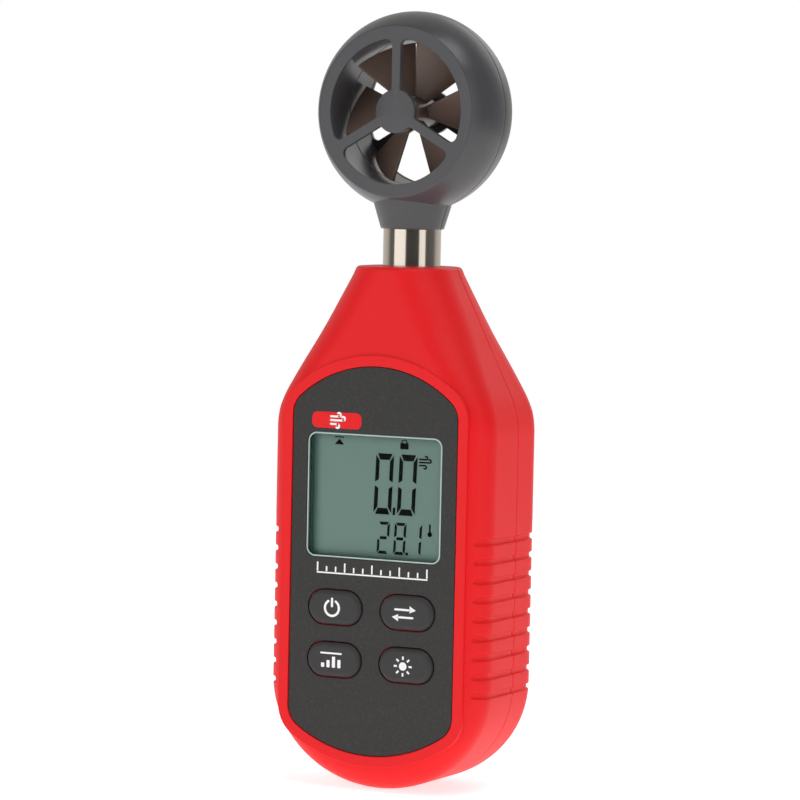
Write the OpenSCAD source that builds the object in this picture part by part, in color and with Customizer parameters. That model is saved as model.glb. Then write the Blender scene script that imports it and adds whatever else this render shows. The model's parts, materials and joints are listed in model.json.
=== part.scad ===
// Handheld weather meter: a slim instrument case with a vane head on a short neck tube.
// Z is up along the case, the display faces -Y, and the origin is the middle of the hand grip.
// Heights inside the modules are measured from the lowest point of the case.

/* [Case] */
// Width of the case
case_w = 50; // [48:0.5:54]
// Height of the case up to its collar
case_h = 107.5; // [106:0.5:112]
// Distance from the neck axis to the front face
front_d = 15; // [15:0.5:16]
// Distance from the neck axis to the back face
back_d = 13; // [13:0.5:14]
// Distance from the neck axis to the parting line, towards the back
part_y = 0.6; // [0:0.1:1]
// Wall thickness of the two shells
wall = 2; // [1.6:0.1:2.2]
// Radius of the long edges
edge_r = 6; // [5:0.5:7]
// Half width of the collar around the neck
collar_w = 10.3; // [10:0.1:11]
// Height of the rounded toe of the case
toe_h = 22; // [20:0.5:24]

/* [Grip] */
// Number of grip grooves on each side
groove_count = 9; // [3:1:9]
// Distance between grooves
groove_pitch = 3.95; // [3:0.05:4]
// Height of the middle of the grip
grip_h = 36; // [34:1:38]
// Width of one groove
groove_w = 1.4; // [1:0.1:1.8]
// Depth of one groove
groove_t = 0.55; // [0.3:0.05:0.8]

/* [Front panel] */
// Width of the dark panel
panel_w = 37.7; // [37:0.1:38]
// Lowest point of the panel
panel_low = 7.4; // [7:0.1:8]
// Highest point of the panel
panel_high = 87.2; // [86:0.1:88]
// Width of the display window
window_w = 31; // [28:0.5:32]
// Height of the display window
window_h = 25.8; // [22:0.2:26]
// Middle of the display window above the toe
window_mid = 60.5; // [60:0.5:61]

/* [Keys] */
// Length of a key
key_l = 12.2; // [10:0.2:12.6]
// Height of a key
key_t = 7; // [6:0.2:7.4]
// Distance between the two columns of keys
key_pitch_x = 16.6; // [16:0.1:17]
// Height of the upper row of keys
key_high = 37.4; // [37:0.1:38]
// Height of the lower row of keys
key_low = 26.6; // [26:0.1:27]
// Travel of a key
key_travel = 0.7; // [0.4:0.1:0.8]

/* [Vane head] */
// Height of the vane axis above the toe
head_h = 139.3; // [138:0.1:142]
// Largest radius of the head
head_r = 20.7; // [20:0.1:21]
// Half depth of the head
head_d = 9; // [8.8:0.1:9.4]
// Radius of the air duct
duct_r = 15; // [14.8:0.1:15.2]
// Radius of the vane wheel at its blade tips
vane_r = 14.5; // [13.5:0.1:14.6]
// Number of blades
blade_count = 6; // [4:1:8]
// Half length of the vane wheel along its axis
vane_d = 4.6; // [4:0.1:4.8]

/* [Hidden] */

$fn = 48;
half_w = case_w / 2;
mid_y = (back_d - front_d) / 2;
half_d = (front_d + back_d) / 2;

// shell colours
shell_red = "#e4262a";
head_grey = "#4b4b4d";
panel_grey = "#393838";
metal = "#c9c6bf";
board_green = "#2f6b45";

// ---- outline of the case ----
flare_rate = 0.22;
shoulder_rate = 0.51;
shoulder_drop = 0.3;
shoulder_blend = 2.2;
collar_r = 10;
collar_d = 11.3;
depth_rate = 0.13;
over_top = 6;

function soft_min(a, b, k) = min(a, b) - pow(max(k - abs(a - b), 0), 2) / (4 * k);
function soft_max(a, b, k) = -soft_min(-a, -b, k);

// half width of the sides above the toe
function side_w(h) = soft_min(half_w, soft_max(collar_w + flare_rate * (case_h - h),
    collar_w - shoulder_drop + shoulder_rate * (case_h - h), shoulder_drop), shoulder_blend);
// half depth and edge radius, which both change along the shoulders
function side_d(h) = soft_min(half_d, collar_d + depth_rate * (case_h - h), 0.6);
function side_r(h) = min(side_w(h) - 0.4, soft_min(collar_r, edge_r + 0.25 * max(h - 78, 0), 1));

// stations along the right half of the outline: [x, height, normal x, normal height]
toe_steps = 15;
side_heights = [24, 71, 73, 75, 76.5, 78, 79.5, 81, 83, 86, 90, 94, 98, 102, 105, 106.2, 107.4,
    case_h + over_top];
function unit2(v) = v / norm(v);
function toe_station(a) = concat([half_w * sin(a), toe_h * (1 - cos(a))],
    unit2([toe_h * sin(a), -half_w * cos(a)]));
function side_station(h) = concat([side_w(h), h],
    unit2([1, -(side_w(h + 0.1) - side_w(h - 0.1)) / 0.2]));
stations = concat([for (i = [0:toe_steps]) toe_station(90 * i / toe_steps)],
    [for (h = side_heights) side_station(h)]);

// one column of points over the edge of the case, from the front face round to the back
function column(s, inset, steps) = let (
    r = side_r(s[1]) - inset, d = side_d(s[1]) - inset)
    [for (side = [-1, 1], i = [0:steps]) let (
        a = side < 0 ? 90 - 90 * i / steps : 90 * i / steps,
        n = inset + r * (1 - cos(a)))
        [s[0] - s[2] * n, mid_y + side * (d - r * (1 - sin(a))), s[1] - s[3] * n]];
function mirror_x(points) = [for (p = points) [-p[0], p[1], p[2]]];

// the closed, rounded solid of the case, drawn in by an inset
module case_solid(inset = 0, steps = 10) {
    rows = 2 * steps + 2;
    n = len(stations);
    right = [for (s = stations) column(s, inset, steps)];
    columns = concat(right, [for (k = [n - 1:-1:1]) mirror_x(right[k])]);
    count = len(columns);
    points = [for (c = columns, p = c) p];
    skin = [for (c = [0:count - 1], j = [0:rows - 2]) let (e = (c + 1) % count)
        [c * rows + j, e * rows + j, e * rows + j + 1, c * rows + j + 1]];
    function left(k) = k == 0 ? 0 : count - k;
    front = [for (k = [1:n - 1]) k == 1
        ? [0, left(1) * rows, rows]
        : [left(k) * rows, k * rows, (k - 1) * rows, left(k - 1) * rows]];
    back = [for (f = front) [for (i = [len(f) - 1:-1:0]) f[i] + rows - 1]];
    intersection() {
        polyhedron(points, concat(skin, front, back), convexity = 4);
        translate([-half_w, -half_d * 2, -1]) cube([case_w, half_d * 4, case_h + 1 - inset]);
    }
}

// ---- shared helpers ----
module in_hand() translate([0, 0, -grip_h]) children();
// a flat outline in X and height, extruded from the depth y0 to y1
module slab(y0, y1) translate([0, y1, 0]) rotate([90, 0, 0]) linear_extrude(y1 - y0) children();
// a round bar along Y
module bar_y(r, y0, y1) translate([0, y0, 0]) rotate([-90, 0, 0]) cylinder(r = r, h = y1 - y0);
module box(x, y, z) translate([x[0], y[0], z[0]]) cube([x[1] - x[0], y[1] - y[0], z[1] - z[0]]);
module at(x, h) translate([x, 0, h]) children();
module round_rect(w, h, r) offset(r = r) square([w - 2 * r, h - 2 * r], center = true);
module stadium(l, t) {
    square([l - t, t], center = true);
    for (s = [-1, 1]) translate([s * (l - t) / 2, 0]) circle(d = t);
}

function cross_frame(a, b) = let (t = unit2(b - a), u = abs(t[2]) > 0.9 ? [1, 0, 0] : [0, 0, 1],
    n = unit2(cross(t, u))) [n, cross(t, n)];
// a round wire along a list of points
module wire(path, r, sides = 8) {
    n = len(path);
    rings = [for (i = [0:n - 1]) let (f = cross_frame(path[max(i - 1, 0)], path[min(i + 1, n - 1)]))
        for (k = [0:sides - 1]) path[i] + r * (cos(360 * k / sides) * f[0] + sin(360 * k / sides) * f[1])];
    skin = [for (i = [0:n - 2], k = [0:sides - 1]) let (e = (k + 1) % sides)
        [i * sides + k, (i + 1) * sides + k, (i + 1) * sides + e, i * sides + e]];
    ends = [[for (k = [0:sides - 1]) k], [for (k = [sides - 1:-1:0]) (n - 1) * sides + k]];
    polyhedron(rings, concat(skin, ends));
}

// ---- places shared by the parts ----
panel_t = 0.6;
rim_w = 2.4;
rim_t = 0.2;
front_y = -front_d;
front_inner = front_y + wall;
back_inner = back_d - wall;
board_y = -6.6;
board_t = 1.2;
board_low = 14;
board_high = 82.4;
key_spots = [[-1, key_high], [1, key_high], [-1, key_low], [1, key_low]];
case_screw_spots = [[-11, 90], [11, 90], [-9, 10.8], [9, 10.8]];
board_screw_spots = [[-15.8, 15.8], [15.8, 15.8], [-16.2, 79.6], [16.2, 79.6]];
door_low = 15;
door_high = 71.4;
door_w = 35;
door_screw_h = 68.6;
bay_low = 16.6;
bay_high = 66.6;
bay_w = 32.6;
bay_floor = -0.8;
cell_r = 5.2;
cell_l = 44.4;
cell_pitch = 10.7;
cell_y = 5;

module panel_outline(grow = 0) {
    corner_r = 5;
    arch_r = 26;
    foot_r = 30;
    offset(r = corner_r + grow) offset(delta = -corner_r) intersection() {
        translate([-panel_w / 2, 0]) square([panel_w, case_h]);
        arched(panel_high - arch_r, arch_r, -1);
        arched(panel_low + foot_r, foot_r, 1);
    }
}
// a disc about a height, carried on by a square towards the other end of the case
module arched(h, r, side) translate([0, h]) {
    circle(r = r, $fn = 96);
    translate([-r, side < 0 ? -case_h : 0]) square([2 * r, case_h]);
}

module groove_cutters() {
    end_x = 22.6;
    for (i = [0:groove_count - 1]) {
        h = grip_h + (i - (groove_count - 1) / 2) * groove_pitch;
        for (side = [-1, 1]) translate([0, 0, h - groove_w / 2]) linear_extrude(groove_w)
            difference() {
                translate([side * (end_x + 4), mid_y]) square([8, 2 * half_d - 1], center = true);
                translate([0, mid_y]) round_rect(case_w - 2 * groove_t, 2 * (half_d - groove_t),
                    edge_r - groove_t);
            }
    }
}

// plate across the collar with a hole for the neck tube
module neck_bridge(y0, y1) difference() {
    box([-half_w, half_w], [y0, y1], [101, 103]);
    translate([0, 0, 100]) cylinder(r = 6.1, h = 4);
}

// the two shells before their openings
module case_wall() difference() {
    case_solid();
    case_solid(wall, 5);
}

// ---- case ----
module front_shell() in_hand() color(shell_red) difference() {
    union() {
        intersection() {
            case_wall();
            box([-half_w, half_w], [-half_d * 2, part_y], [-1, case_h + 1]);
        }
        // raised rim around the panel
        slab(front_y - rim_t, front_inner) difference() {
            panel_outline(rim_w);
            panel_outline(-1);
        }
        // bridge that holds the neck tube, and the pillars for the screws
        intersection() {
            case_solid(wall - 0.5, 5);
            union() {
                neck_bridge(-half_d * 2, part_y);
                for (p = case_screw_spots) at(p[0], p[1]) bar_y(2.6, front_y, part_y);
                for (p = board_screw_spots) at(p[0], p[1]) bar_y(2, front_y, board_y);
            }
        }
    }
    slab(front_y - 1, front_y + panel_t) panel_outline(0.15);
    slab(front_y - 1, front_inner + 1) translate([0, window_mid])
        square([window_w + 0.2, window_h + 0.2], center = true);
    for (p = key_spots) slab(front_y - 1, front_inner + 1)
        translate([p[0] * key_pitch_x / 2, p[1]]) stadium(key_l + 0.5, key_t + 0.5);
    translate([0, 0, 103.5]) cylinder(r = 6.05, h = 8);
    for (p = case_screw_spots) at(p[0], p[1]) bar_y(1.15, front_inner + 1, part_y + 1);
    for (p = board_screw_spots) at(p[0], p[1]) bar_y(0.75, front_inner + 0.6, board_y + 1);
    groove_cutters();
}

module rear_shell() in_hand() color(shell_red) difference() {
    union() {
        intersection() {
            case_wall();
            box([-half_w, half_w], [part_y, half_d * 2], [-1, case_h + 1]);
        }
        intersection() {
            case_solid(wall - 0.5, 5);
            union() {
                neck_bridge(part_y, half_d * 2);
                for (p = case_screw_spots) at(p[0], p[1]) bar_y(2.9, part_y, back_d);
                at(0, door_screw_h) bar_y(2.6, 3, back_d);
            }
        }
        // battery bay: floor and four walls
        difference() {
            box([-bay_w / 2 - 1.2, bay_w / 2 + 1.2], [bay_floor - 1.2, back_inner + 0.5],
                [bay_low - 1.2, bay_high + 1.2]);
            box([-bay_w / 2, bay_w / 2], [bay_floor, back_d], [bay_low, bay_high]);
        }
    }
    // opening for the battery door, with a step all round
    box([-bay_w / 2, bay_w / 2], [bay_floor, back_d + 1], [bay_low, bay_high]);
    box([-door_w / 2 - 0.15, door_w / 2 + 0.15], [back_inner + 0.4, back_d + 1],
        [door_low - 0.15, door_high + 0.15]);
    at(0, door_screw_h) bar_y(1, 3.5, back_d);
    for (p = case_screw_spots) at(p[0], p[1]) {
        bar_y(1.5, part_y - 1, back_d + 1);
        bar_y(2.6, back_d - 4, back_d + 1);
    }
    translate([0, 0, 103.5]) cylinder(r = 6.05, h = 8);
    groove_cutters();
}

// battery cover: a flush plate with a ribbed thumb patch, held by one screw
module battery_door() in_hand() color(shell_red) difference() {
    union() {
        slab(back_inner + 0.5, back_d) translate([0, (door_low + door_high) / 2])
            round_rect(door_w, door_high - door_low, 1);
        for (s = [-1, 1]) box([s * 14.6 - 0.6, s * 14.6 + 0.6], [back_inner - 1.2, back_inner + 0.6],
            [bay_low + 6, bay_high - 6]);
    }
    for (i = [0:4]) at(0, door_low + 6 + 1.8 * i) translate([0, back_d, 0])
        rotate([0, 90, 0]) cylinder(r = 0.45, h = 16, center = true);
    at(0, door_screw_h) bar_y(1, back_inner, back_d + 1);
    at(0, door_screw_h) bar_y(2.4, back_d - 0.9, back_d + 1);
}

// a cross-head screw along Y, with its head at the depth y1
module screw_y(y0, y1, r, head_r, head_t) difference() {
    union() {
        bar_y(r, y0, y1);
        bar_y(head_r, y1 - head_t, y1);
    }
    for (a = [0, 90]) translate([0, y1, 0]) rotate([0, a, 0])
        cube([head_r * 1.3, head_t, 0.45], center = true);
}

module door_screw() in_hand() color(metal) at(0, door_screw_h)
    screw_y(5, back_d - 0.15, 0.85, 2.2, 0.75);

module case_screws() in_hand() color(metal) for (p = case_screw_spots) at(p[0], p[1])
    screw_y(front_inner + 5, back_d - 4 + 1.4, 1.1, 2.3, 1.4);

// ---- front panel and display ----
module face_panel() in_hand() color(panel_grey) difference() {
    slab(front_y, front_y + panel_t) panel_outline(0);
    slab(front_y - 1, front_inner) translate([0, window_mid]) round_rect(window_w, window_h, 2);
    for (p = key_spots) slab(front_y - 1, front_inner)
        translate([p[0] * key_pitch_x / 2, p[1]]) stadium(key_l + 0.5, key_t + 0.5);
}

module display_window() in_hand() color("#9fb8b0", 0.5) {
    slab(front_y + 0.15, front_y + panel_t) translate([0, window_mid])
        round_rect(window_w - 0.1, window_h - 0.1, 1.95);
    slab(front_y + panel_t, front_y + 1.4) translate([0, window_mid])
        square([window_w, window_h], center = true);
}

glass_y = front_inner + 0.3;
glass_mid = window_mid + 0.8;
strip_gap = 29.2;
module display_glass() in_hand() color("#6d8580") {
    slab(glass_y, glass_y + 1.1) translate([0, glass_mid]) square([34.5, 31], center = true);
    slab(glass_y + 1.1, glass_y + 2.2) translate([0, glass_mid]) square([34.5, 26.6], center = true);
}

module display_frame() in_hand() color("#d8d8d2") difference() {
    slab(glass_y - 0.2, board_y) translate([0, glass_mid]) square([36.8, 32.4], center = true);
    slab(glass_y - 1, glass_y + 2.3) translate([0, glass_mid]) square([34.7, 31.2], center = true);
    slab(glass_y - 1, board_y + 1) translate([0, glass_mid]) square([32.8, 25.4], center = true);
    for (s = [-1, 1]) slab(glass_y + 1, board_y + 1)
        translate([0, glass_mid + s * strip_gap / 2]) square([32.4, 1.6], center = true);
}

module backlight() in_hand() color("#f2f2ee") slab(glass_y + 2.3, board_y - 0.4)
    translate([0, glass_mid]) square([32.4, 25.2], center = true);

module contact_strips() in_hand() color("#e58a9a") for (s = [-1, 1]) slab(glass_y + 1.1, board_y)
    translate([0, glass_mid + s * strip_gap / 2]) square([31.6, 1.4], center = true);

// ---- electronics ----
module main_board() in_hand() color(board_green) difference() {
    slab(board_y, board_y + board_t) translate([0, (board_low + board_high) / 2])
        round_rect(38, board_high - board_low, 3);
    for (p = board_screw_spots) at(p[0], p[1]) bar_y(1.1, board_y - 1, board_y + board_t + 1);
}

part_y0 = board_y + board_t;
module processor() in_hand() color("#222222")
    box([-5, 5], [part_y0, part_y0 + 1.4], [56, 66]);

module board_parts() in_hand() color("#9a8f70") {
    box([-14, -6.5], [part_y0, part_y0 + 2], [70.5, 73.5]);
    for (x = [8, 11, 14], h = [70, 63, 56]) box([x, x + 1.2], [part_y0, part_y0 + 0.8], [h, h + 2]);
    for (h = [24, 32]) at(13, h) bar_y(2, part_y0, part_y0 + 2.4);
    box([-15, -10], [part_y0, part_y0 + 1.2], [30, 34]);
}

module board_screws() in_hand() color(metal) for (p = board_screw_spots) at(p[0], p[1])
    screw_y(board_y - 4, board_y + board_t + 1, 0.7, 1.7, 1);

module cable_socket() in_hand() color("#eeeadf") difference() {
    box([-3.6, 3.6], [part_y0, part_y0 + 2.6], [76, 80.6]);
    box([-2.9, 2.9], [part_y0 + 0.6, part_y0 + 2.1], [77.6, 82]);
}

// ---- keys ----
dome_t = 0.5;
module key(spot) in_hand() color("#454546") at(spot[0] * key_pitch_x / 2, spot[1]) {
    slab(front_y - 0.75, front_y - 0.25) stadium(key_l - 0.6, key_t - 0.6);
    slab(front_y - 0.25, front_inner + 0.3) stadium(key_l, key_t);
    slab(front_inner + 0.3, front_inner + 1.2) stadium(key_l + 1.8, key_t + 1.8);
    slab(front_inner + 1.2, board_y - dome_t - key_travel - 0.05) stadium(key_l - 4, key_t - 3);
}
module power_key() key(key_spots[0]);
module unit_key() key(key_spots[1]);
module mode_key() key(key_spots[2]);
module hold_key() key(key_spots[3]);

module key_mat() in_hand() color("#5a5a5c") difference() {
    slab(board_y - 1.5, board_y - 0.1) translate([0, (key_high + key_low) / 2])
        round_rect(35, 21.4, 2);
    for (p = key_spots) slab(board_y - 3, board_y + 1)
        translate([p[0] * key_pitch_x / 2, p[1]]) stadium(key_l - 2.6, key_t - 1.6);
}

module key_domes() in_hand() color(metal) for (p = key_spots)
    at(p[0] * key_pitch_x / 2, p[1]) bar_y(2.4, board_y - dome_t, board_y);

// ---- batteries ----
module battery(slot, flip) in_hand() color("#3b5f8f") translate([slot * cell_pitch, cell_y, 0])
    translate([0, 0, (bay_low + bay_high) / 2]) rotate([flip ? 180 : 0, 0, 0])
    translate([0, 0, -cell_l / 2]) {
        cylinder(r = cell_r, h = cell_l - 1);
        translate([0, 0, cell_l - 1]) cylinder(r = 1.9, h = 1);
    }
module battery_left() battery(-1, false);
module battery_middle() battery(0, true);
module battery_right() battery(1, false);

// conical springs on the flat ends of the cells
spring_turns = 3;
function spring_path(h) = [for (i = [0:12 * spring_turns]) let (a = 30 * i, f = i / (12 * spring_turns))
    [(3.6 - 1.4 * f) * cos(a), (3.6 - 1.4 * f) * sin(a), 0.35 + (h - 0.7) * f]];
gap_h = (bay_high - bay_low - cell_l) / 2 - 0.4;
module battery_springs() in_hand() color(metal) for (slot = [-1, 0, 1])
    translate([slot * cell_pitch, cell_y, (bay_low + bay_high) / 2])
    rotate([slot == 0 ? 180 : 0, 0, 0])
    translate([0, 0, -(bay_high - bay_low) / 2]) {
        translate([-4.6, -4.8, 0]) cube([9.2, 9.6, 0.35]);
        wire([for (p = spring_path(gap_h)) p + [0, 0, 0.1]], 0.3, 6);
    }

module battery_plates() in_hand() color(metal) for (slot = [-1, 0, 1])
    translate([slot * cell_pitch, cell_y, (bay_low + bay_high) / 2])
    rotate([slot == 0 ? 180 : 0, 0, 0])
    translate([0, 0, (bay_high - bay_low) / 2]) difference() {
        translate([-4.6, -4.8, -0.35]) cube([9.2, 9.6, 0.35]);
        cylinder(r = 0.5, h = 3, center = true);
    }

// ---- neck and head ----
tube_r = 5.98;
tube_low = 98.8;
tube_high = 120.4;
module neck_tube() in_hand() color("#d8d0c4") difference() {
    union() {
        translate([0, 0, tube_low]) cylinder(r = tube_r, h = tube_high - tube_low);
        translate([0, 0, tube_low]) cylinder(r = 7.6, h = 2);
    }
    translate([0, 0, tube_low - 1]) cylinder(r = 4.9, h = tube_high - tube_low + 2);
}

// ring of the head, turned about the vane axis; the crown is an arc across the depth
crown_r = 14.3;
boss_r = 2.8;
cone_low = 115.2;
cone_high = 124;
cone_r = 6.45;
cone_rate = 0.3;
duct_wall = 1.3;

// profile of the ring in radius and depth, from the front face over the crown to the back face
module ring_profile(inset) {
    d = head_d - inset;
    top = head_r - inset;
    intersection() {
        translate([top - (crown_r - inset), 0]) circle(r = crown_r - inset, $fn = 128);
        translate([duct_r + (inset > 0 ? duct_wall : 0), -d]) square([top, 2 * d]);
    }
}
module about_vane() translate([0, 0, head_h]) rotate([90, 0, 0]) children();

module head_body() difference() {
    union() {
        about_vane() rotate_extrude($fn = 96) ring_profile(0);
        intersection() {
            translate([0, 0, cone_low]) cylinder(r1 = cone_r, r2 = cone_r
                + cone_rate * (cone_high - cone_low), h = cone_high - cone_low);
            box([-20, 20], [0.3 - head_d, head_d - 0.3], [cone_low, cone_high]);
        }
    }
    // hollow ring and the room inside the neck
    about_vane() rotate_extrude($fn = 96) ring_profile(1.6);
    difference() {
        translate([0, 0, cone_low + 4]) cylinder(r1 = 6.5, r2 = 7.8, h = 6);
        translate([0, 0, head_h]) bar_y(duct_r + duct_wall, -20, 20);
    }
    translate([0, 0, cone_low - 1]) cylinder(r = tube_r + 0.02, h = tube_high - cone_low + 1.2);
    translate([0, 0, head_h]) bar_y(duct_r, -20, 20);
}

// three-armed guard and its middle disc, in the plane of the head's face
spoke_w = 2.05;
spoke_t = 1.1;
disc_r = 4.5;
module arm_outline() {
    half = spoke_w / 2;
    flare_from = duct_r - 1.2;
    reach = duct_r + 0.6;
    polygon([[0, half], [flare_from, half], [reach, half + 1.4], [reach, -half - 1.4],
        [flare_from, -half], [0, -half]]);
}
module guard_outline() {
    circle(r = disc_r);
    for (a = [90, 210, 330]) rotate(a) arm_outline();
}

bearing_r = 1.9;
shaft_r = 0.75;
wire_angle = 30;
wire_hole_r = 16.6;
module guard(side) translate([0, 0, head_h]) difference() {
    union() {
        slab(side < 0 ? -head_d : head_d - spoke_t, side < 0 ? spoke_t - head_d : head_d)
            guard_outline();
        bar_y(boss_r, side < 0 ? -head_d + 0.5 : 5.3, side < 0 ? -5.3 : head_d - 0.5);
    }
    bar_y(bearing_r, side < 0 ? -7.4 : 5, side < 0 ? -5 : 7.4);
}

module head_front() in_hand() color(head_grey) {
    intersection() {
        head_body();
        box([-30, 30], [-30, 0], [100, 170]);
    }
    guard(-1);
}

module head_rear() in_hand() color(head_grey) difference() {
    union() {
        intersection() {
            head_body();
            box([-30, 30], [0, 30], [100, 170]);
        }
        guard(1);
    }
    // seat of the rotation sensor, the slot for its wires and the hole that leads them inwards
    box([-1.7, 1.7], [7.3, 8.3], [head_h - 1.3, head_h + 1.3]);
    translate([0, 0, head_h]) rotate([0, wire_angle, 0]) {
        box([1, wire_hole_r + 0.5], [7.3, 8.1], [-0.5, 0.5]);
        translate([wire_hole_r, 0, 0]) bar_y(0.5, 4.9, 8.1);
    }
}

// ---- vane ----
hub_r = 3.2;
blade_t = 0.75;
// a blade is a flat paddle, tilted about its own middle line; its chord grows with the radius
blade_tilt = 41.8;
blade_chord = 0.475;
module blade() rotate([90 + blade_tilt, 0, 0]) linear_extrude(blade_t, center = true)
    polygon([for (p = [[hub_r - 0.6, -1], [vane_r + 1, -1], [vane_r + 1, 1], [hub_r - 0.6, 1]])
        [p.x, p.y * blade_chord * p.x]]);
module vane_wheel() in_hand() color("#54453f") translate([0, 0, head_h]) difference() {
    union() {
        bar_y(hub_r, -vane_d, vane_d);
        intersection() {
            union() for (i = [0:blade_count - 1]) rotate([0, -360 * i / blade_count, 0]) blade();
            bar_y(vane_r, -vane_d, vane_d);
        }
    }
    bar_y(shaft_r, -vane_d - 1, vane_d + 1);
    bar_y(2.3, vane_d - 2, vane_d + 1);
}

module vane_shaft() in_hand() color(metal) translate([0, 0, head_h]) bar_y(shaft_r, -7.2, 7.2);

module bearing(y0, y1) in_hand() color("#b58a3a") translate([0, 0, head_h]) difference() {
    bar_y(bearing_r, y0, y1);
    bar_y(shaft_r + 0.03, y0 - 1, y1 + 1);
}
module front_bearing() bearing(-7.4, -5.3);
module rear_bearing() bearing(5.3, 7.3);

module vane_magnet() in_hand() color("#8a8d90") translate([0, 0, head_h]) difference() {
    bar_y(2.3, vane_d - 2, vane_d);
    bar_y(shaft_r, 0, vane_d + 1);
}

// ---- sensors ----
module rotation_sensor() in_hand() color("#222222")
    box([-1.6, 1.6], [7.35, 8.25], [head_h - 1.2, head_h + 1.2]);

module sensor_board() in_hand() color(board_green)
    box([-4.5, 4.5], [-4, 4], [121.2, 122]);

module temperature_sensor() in_hand() color("#c98f3d") translate([0, 1.2, 122.4])
    rotate([0, 90, 0]) cylinder(r = 0.4, h = 2.4, center = true);

// hair-thin wires from the rotation sensor, inside the arm and the ring, to the sensor board
hole_x = wire_hole_r * cos(wire_angle);
hole_drop = wire_hole_r * sin(wire_angle);
wire_route = [[1.4, 7.7, head_h - 0.8], [8, 7.7, head_h - 4.6],
    [hole_x, 7.7, head_h - hole_drop], [hole_x, 4.9, head_h - hole_drop],
    [13.9, 4.4, head_h - 9.4], [12.6, 4.4, head_h - 11.7], [9.7, 4.2, head_h - 14.4],
    [4.4, 3.2, head_h - 16.9]];
module sensor_wires() in_hand() color("#b03030") wire(wire_route, 0.3, 8);

// cable from the sensor board down the neck tube to its socket
cable_route = [[0, 0, 121.2], [0, 0, 116], [0, 0, 108], [0, 0, 100], [0, -1.4, 92], [0, -3.4, 86],
    [0, -4, 82.5], [0, -4, 79]];
module sensor_cable() in_hand() color("#2a2a2a") wire(cable_route, 0.7, 8);

front_shell();
rear_shell();
battery_door();
door_screw();
case_screws();
face_panel();
display_window();
display_glass();
display_frame();
backlight();
contact_strips();
main_board();
processor();
board_parts();
board_screws();
cable_socket();
key_mat();
key_domes();
power_key();
unit_key();
mode_key();
hold_key();
battery_left();
battery_middle();
battery_right();
battery_springs();
battery_plates();
neck_tube();
head_front();
head_rear();
vane_wheel();
vane_shaft();
front_bearing();
rear_bearing();
vane_magnet();
rotation_sensor();
sensor_board();
temperature_sensor();
sensor_wires();
sensor_cable();
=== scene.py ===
"""Handheld weather meter with a vane head: its finished looks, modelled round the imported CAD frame.

Sizes are in millimetres, and heights are measured up from the toe of the case.
X runs across the meter, Y from its display to its back.
"""

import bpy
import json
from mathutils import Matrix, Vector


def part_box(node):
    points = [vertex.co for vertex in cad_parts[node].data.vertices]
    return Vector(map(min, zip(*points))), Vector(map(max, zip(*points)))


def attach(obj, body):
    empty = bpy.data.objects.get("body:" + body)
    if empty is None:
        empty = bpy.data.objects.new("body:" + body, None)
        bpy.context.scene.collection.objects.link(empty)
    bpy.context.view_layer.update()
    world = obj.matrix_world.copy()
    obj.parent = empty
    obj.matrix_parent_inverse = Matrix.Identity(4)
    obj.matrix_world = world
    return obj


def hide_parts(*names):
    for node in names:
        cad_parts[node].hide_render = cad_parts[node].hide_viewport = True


bl_info = {
    "name": "Handheld weather meter",
    "version": (1, 0, 0),
    "blender": (4, 5, 0),
    "location": "View3D > Sidebar > Weather meter",
    "description": "Models the case, display, keys, neck and vane head of a handheld weather meter",
    "category": "Add Mesh",
}

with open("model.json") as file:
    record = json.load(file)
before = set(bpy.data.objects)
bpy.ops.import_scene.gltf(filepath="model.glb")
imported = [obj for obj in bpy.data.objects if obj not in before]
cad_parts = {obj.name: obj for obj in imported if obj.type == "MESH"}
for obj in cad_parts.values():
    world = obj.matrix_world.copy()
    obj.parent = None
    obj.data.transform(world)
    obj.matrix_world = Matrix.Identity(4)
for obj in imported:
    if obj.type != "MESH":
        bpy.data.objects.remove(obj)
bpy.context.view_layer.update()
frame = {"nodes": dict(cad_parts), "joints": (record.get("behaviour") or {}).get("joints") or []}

import json
from math import acos, asin, atan2, cos, degrees, hypot, pi, radians, sin, sqrt

import bpy
from bpy.props import FloatProperty, FloatVectorProperty, IntProperty, PointerProperty
from mathutils import Matrix, Vector

# ---------------------------------------------------------------- measures
MM = 0.001
TOE = Vector((0, 0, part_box("front_shell")[0].z))


def spot(x, y, h):
    """A point in the frame, from millimetres across, back and up from the toe."""
    return TOE + Vector((x, y, h)) * MM


def low(node):
    """Lowest corner of a CAD node, in millimetres, with its height above the toe."""
    return Vector([round(c / MM, 3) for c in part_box(node)[0] - TOE])


def high(node):
    """Highest corner of a CAD node, in millimetres, with its height above the toe."""
    return Vector([round(c / MM, 3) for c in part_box(node)[1] - TOE])


def middle(node):
    """Middle of a CAD node, in millimetres, with its height above the toe."""
    return (low(node) + high(node)) / 2


CASE_TOP = high("rear_shell").z
HALF_W = high("rear_shell").x
BACK_Y = high("rear_shell").y
FRONT_Y = low("face_panel").y
RIM_Y = low("front_shell").y
PART_Y = high("front_shell").y
HALF_D = (BACK_Y - FRONT_Y) / 2
MID_Y = (BACK_Y + FRONT_Y) / 2
VANE_H = frame["joints"][0]["pos_m"][2] / MM - TOE.z / MM
KEY_NODES = ("power_key", "unit_key", "mode_key", "hold_key")
CELL_NODES = ("battery_left", "battery_middle", "battery_right")


# ---------------------------------------------------------------- settings
def length(name, description, size, least=0.0):
    """A property that holds a length."""
    return FloatProperty(name=name, description=description, default=size * MM, min=least,
                         unit="LENGTH", precision=5)


def tint(name, description, code):
    """A property that holds a colour, given as the six digits of its screen colour."""
    channels = [int(code[k:k + 2], 16) / 255 for k in (0, 2, 4)]
    linear = [c / 12.92 if c <= 0.04045 else ((c + 0.055) / 1.055) ** 2.4 for c in channels]
    return FloatVectorProperty(name=name, description=description, default=linear, size=3,
                               min=0, max=1, subtype="COLOR")


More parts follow.
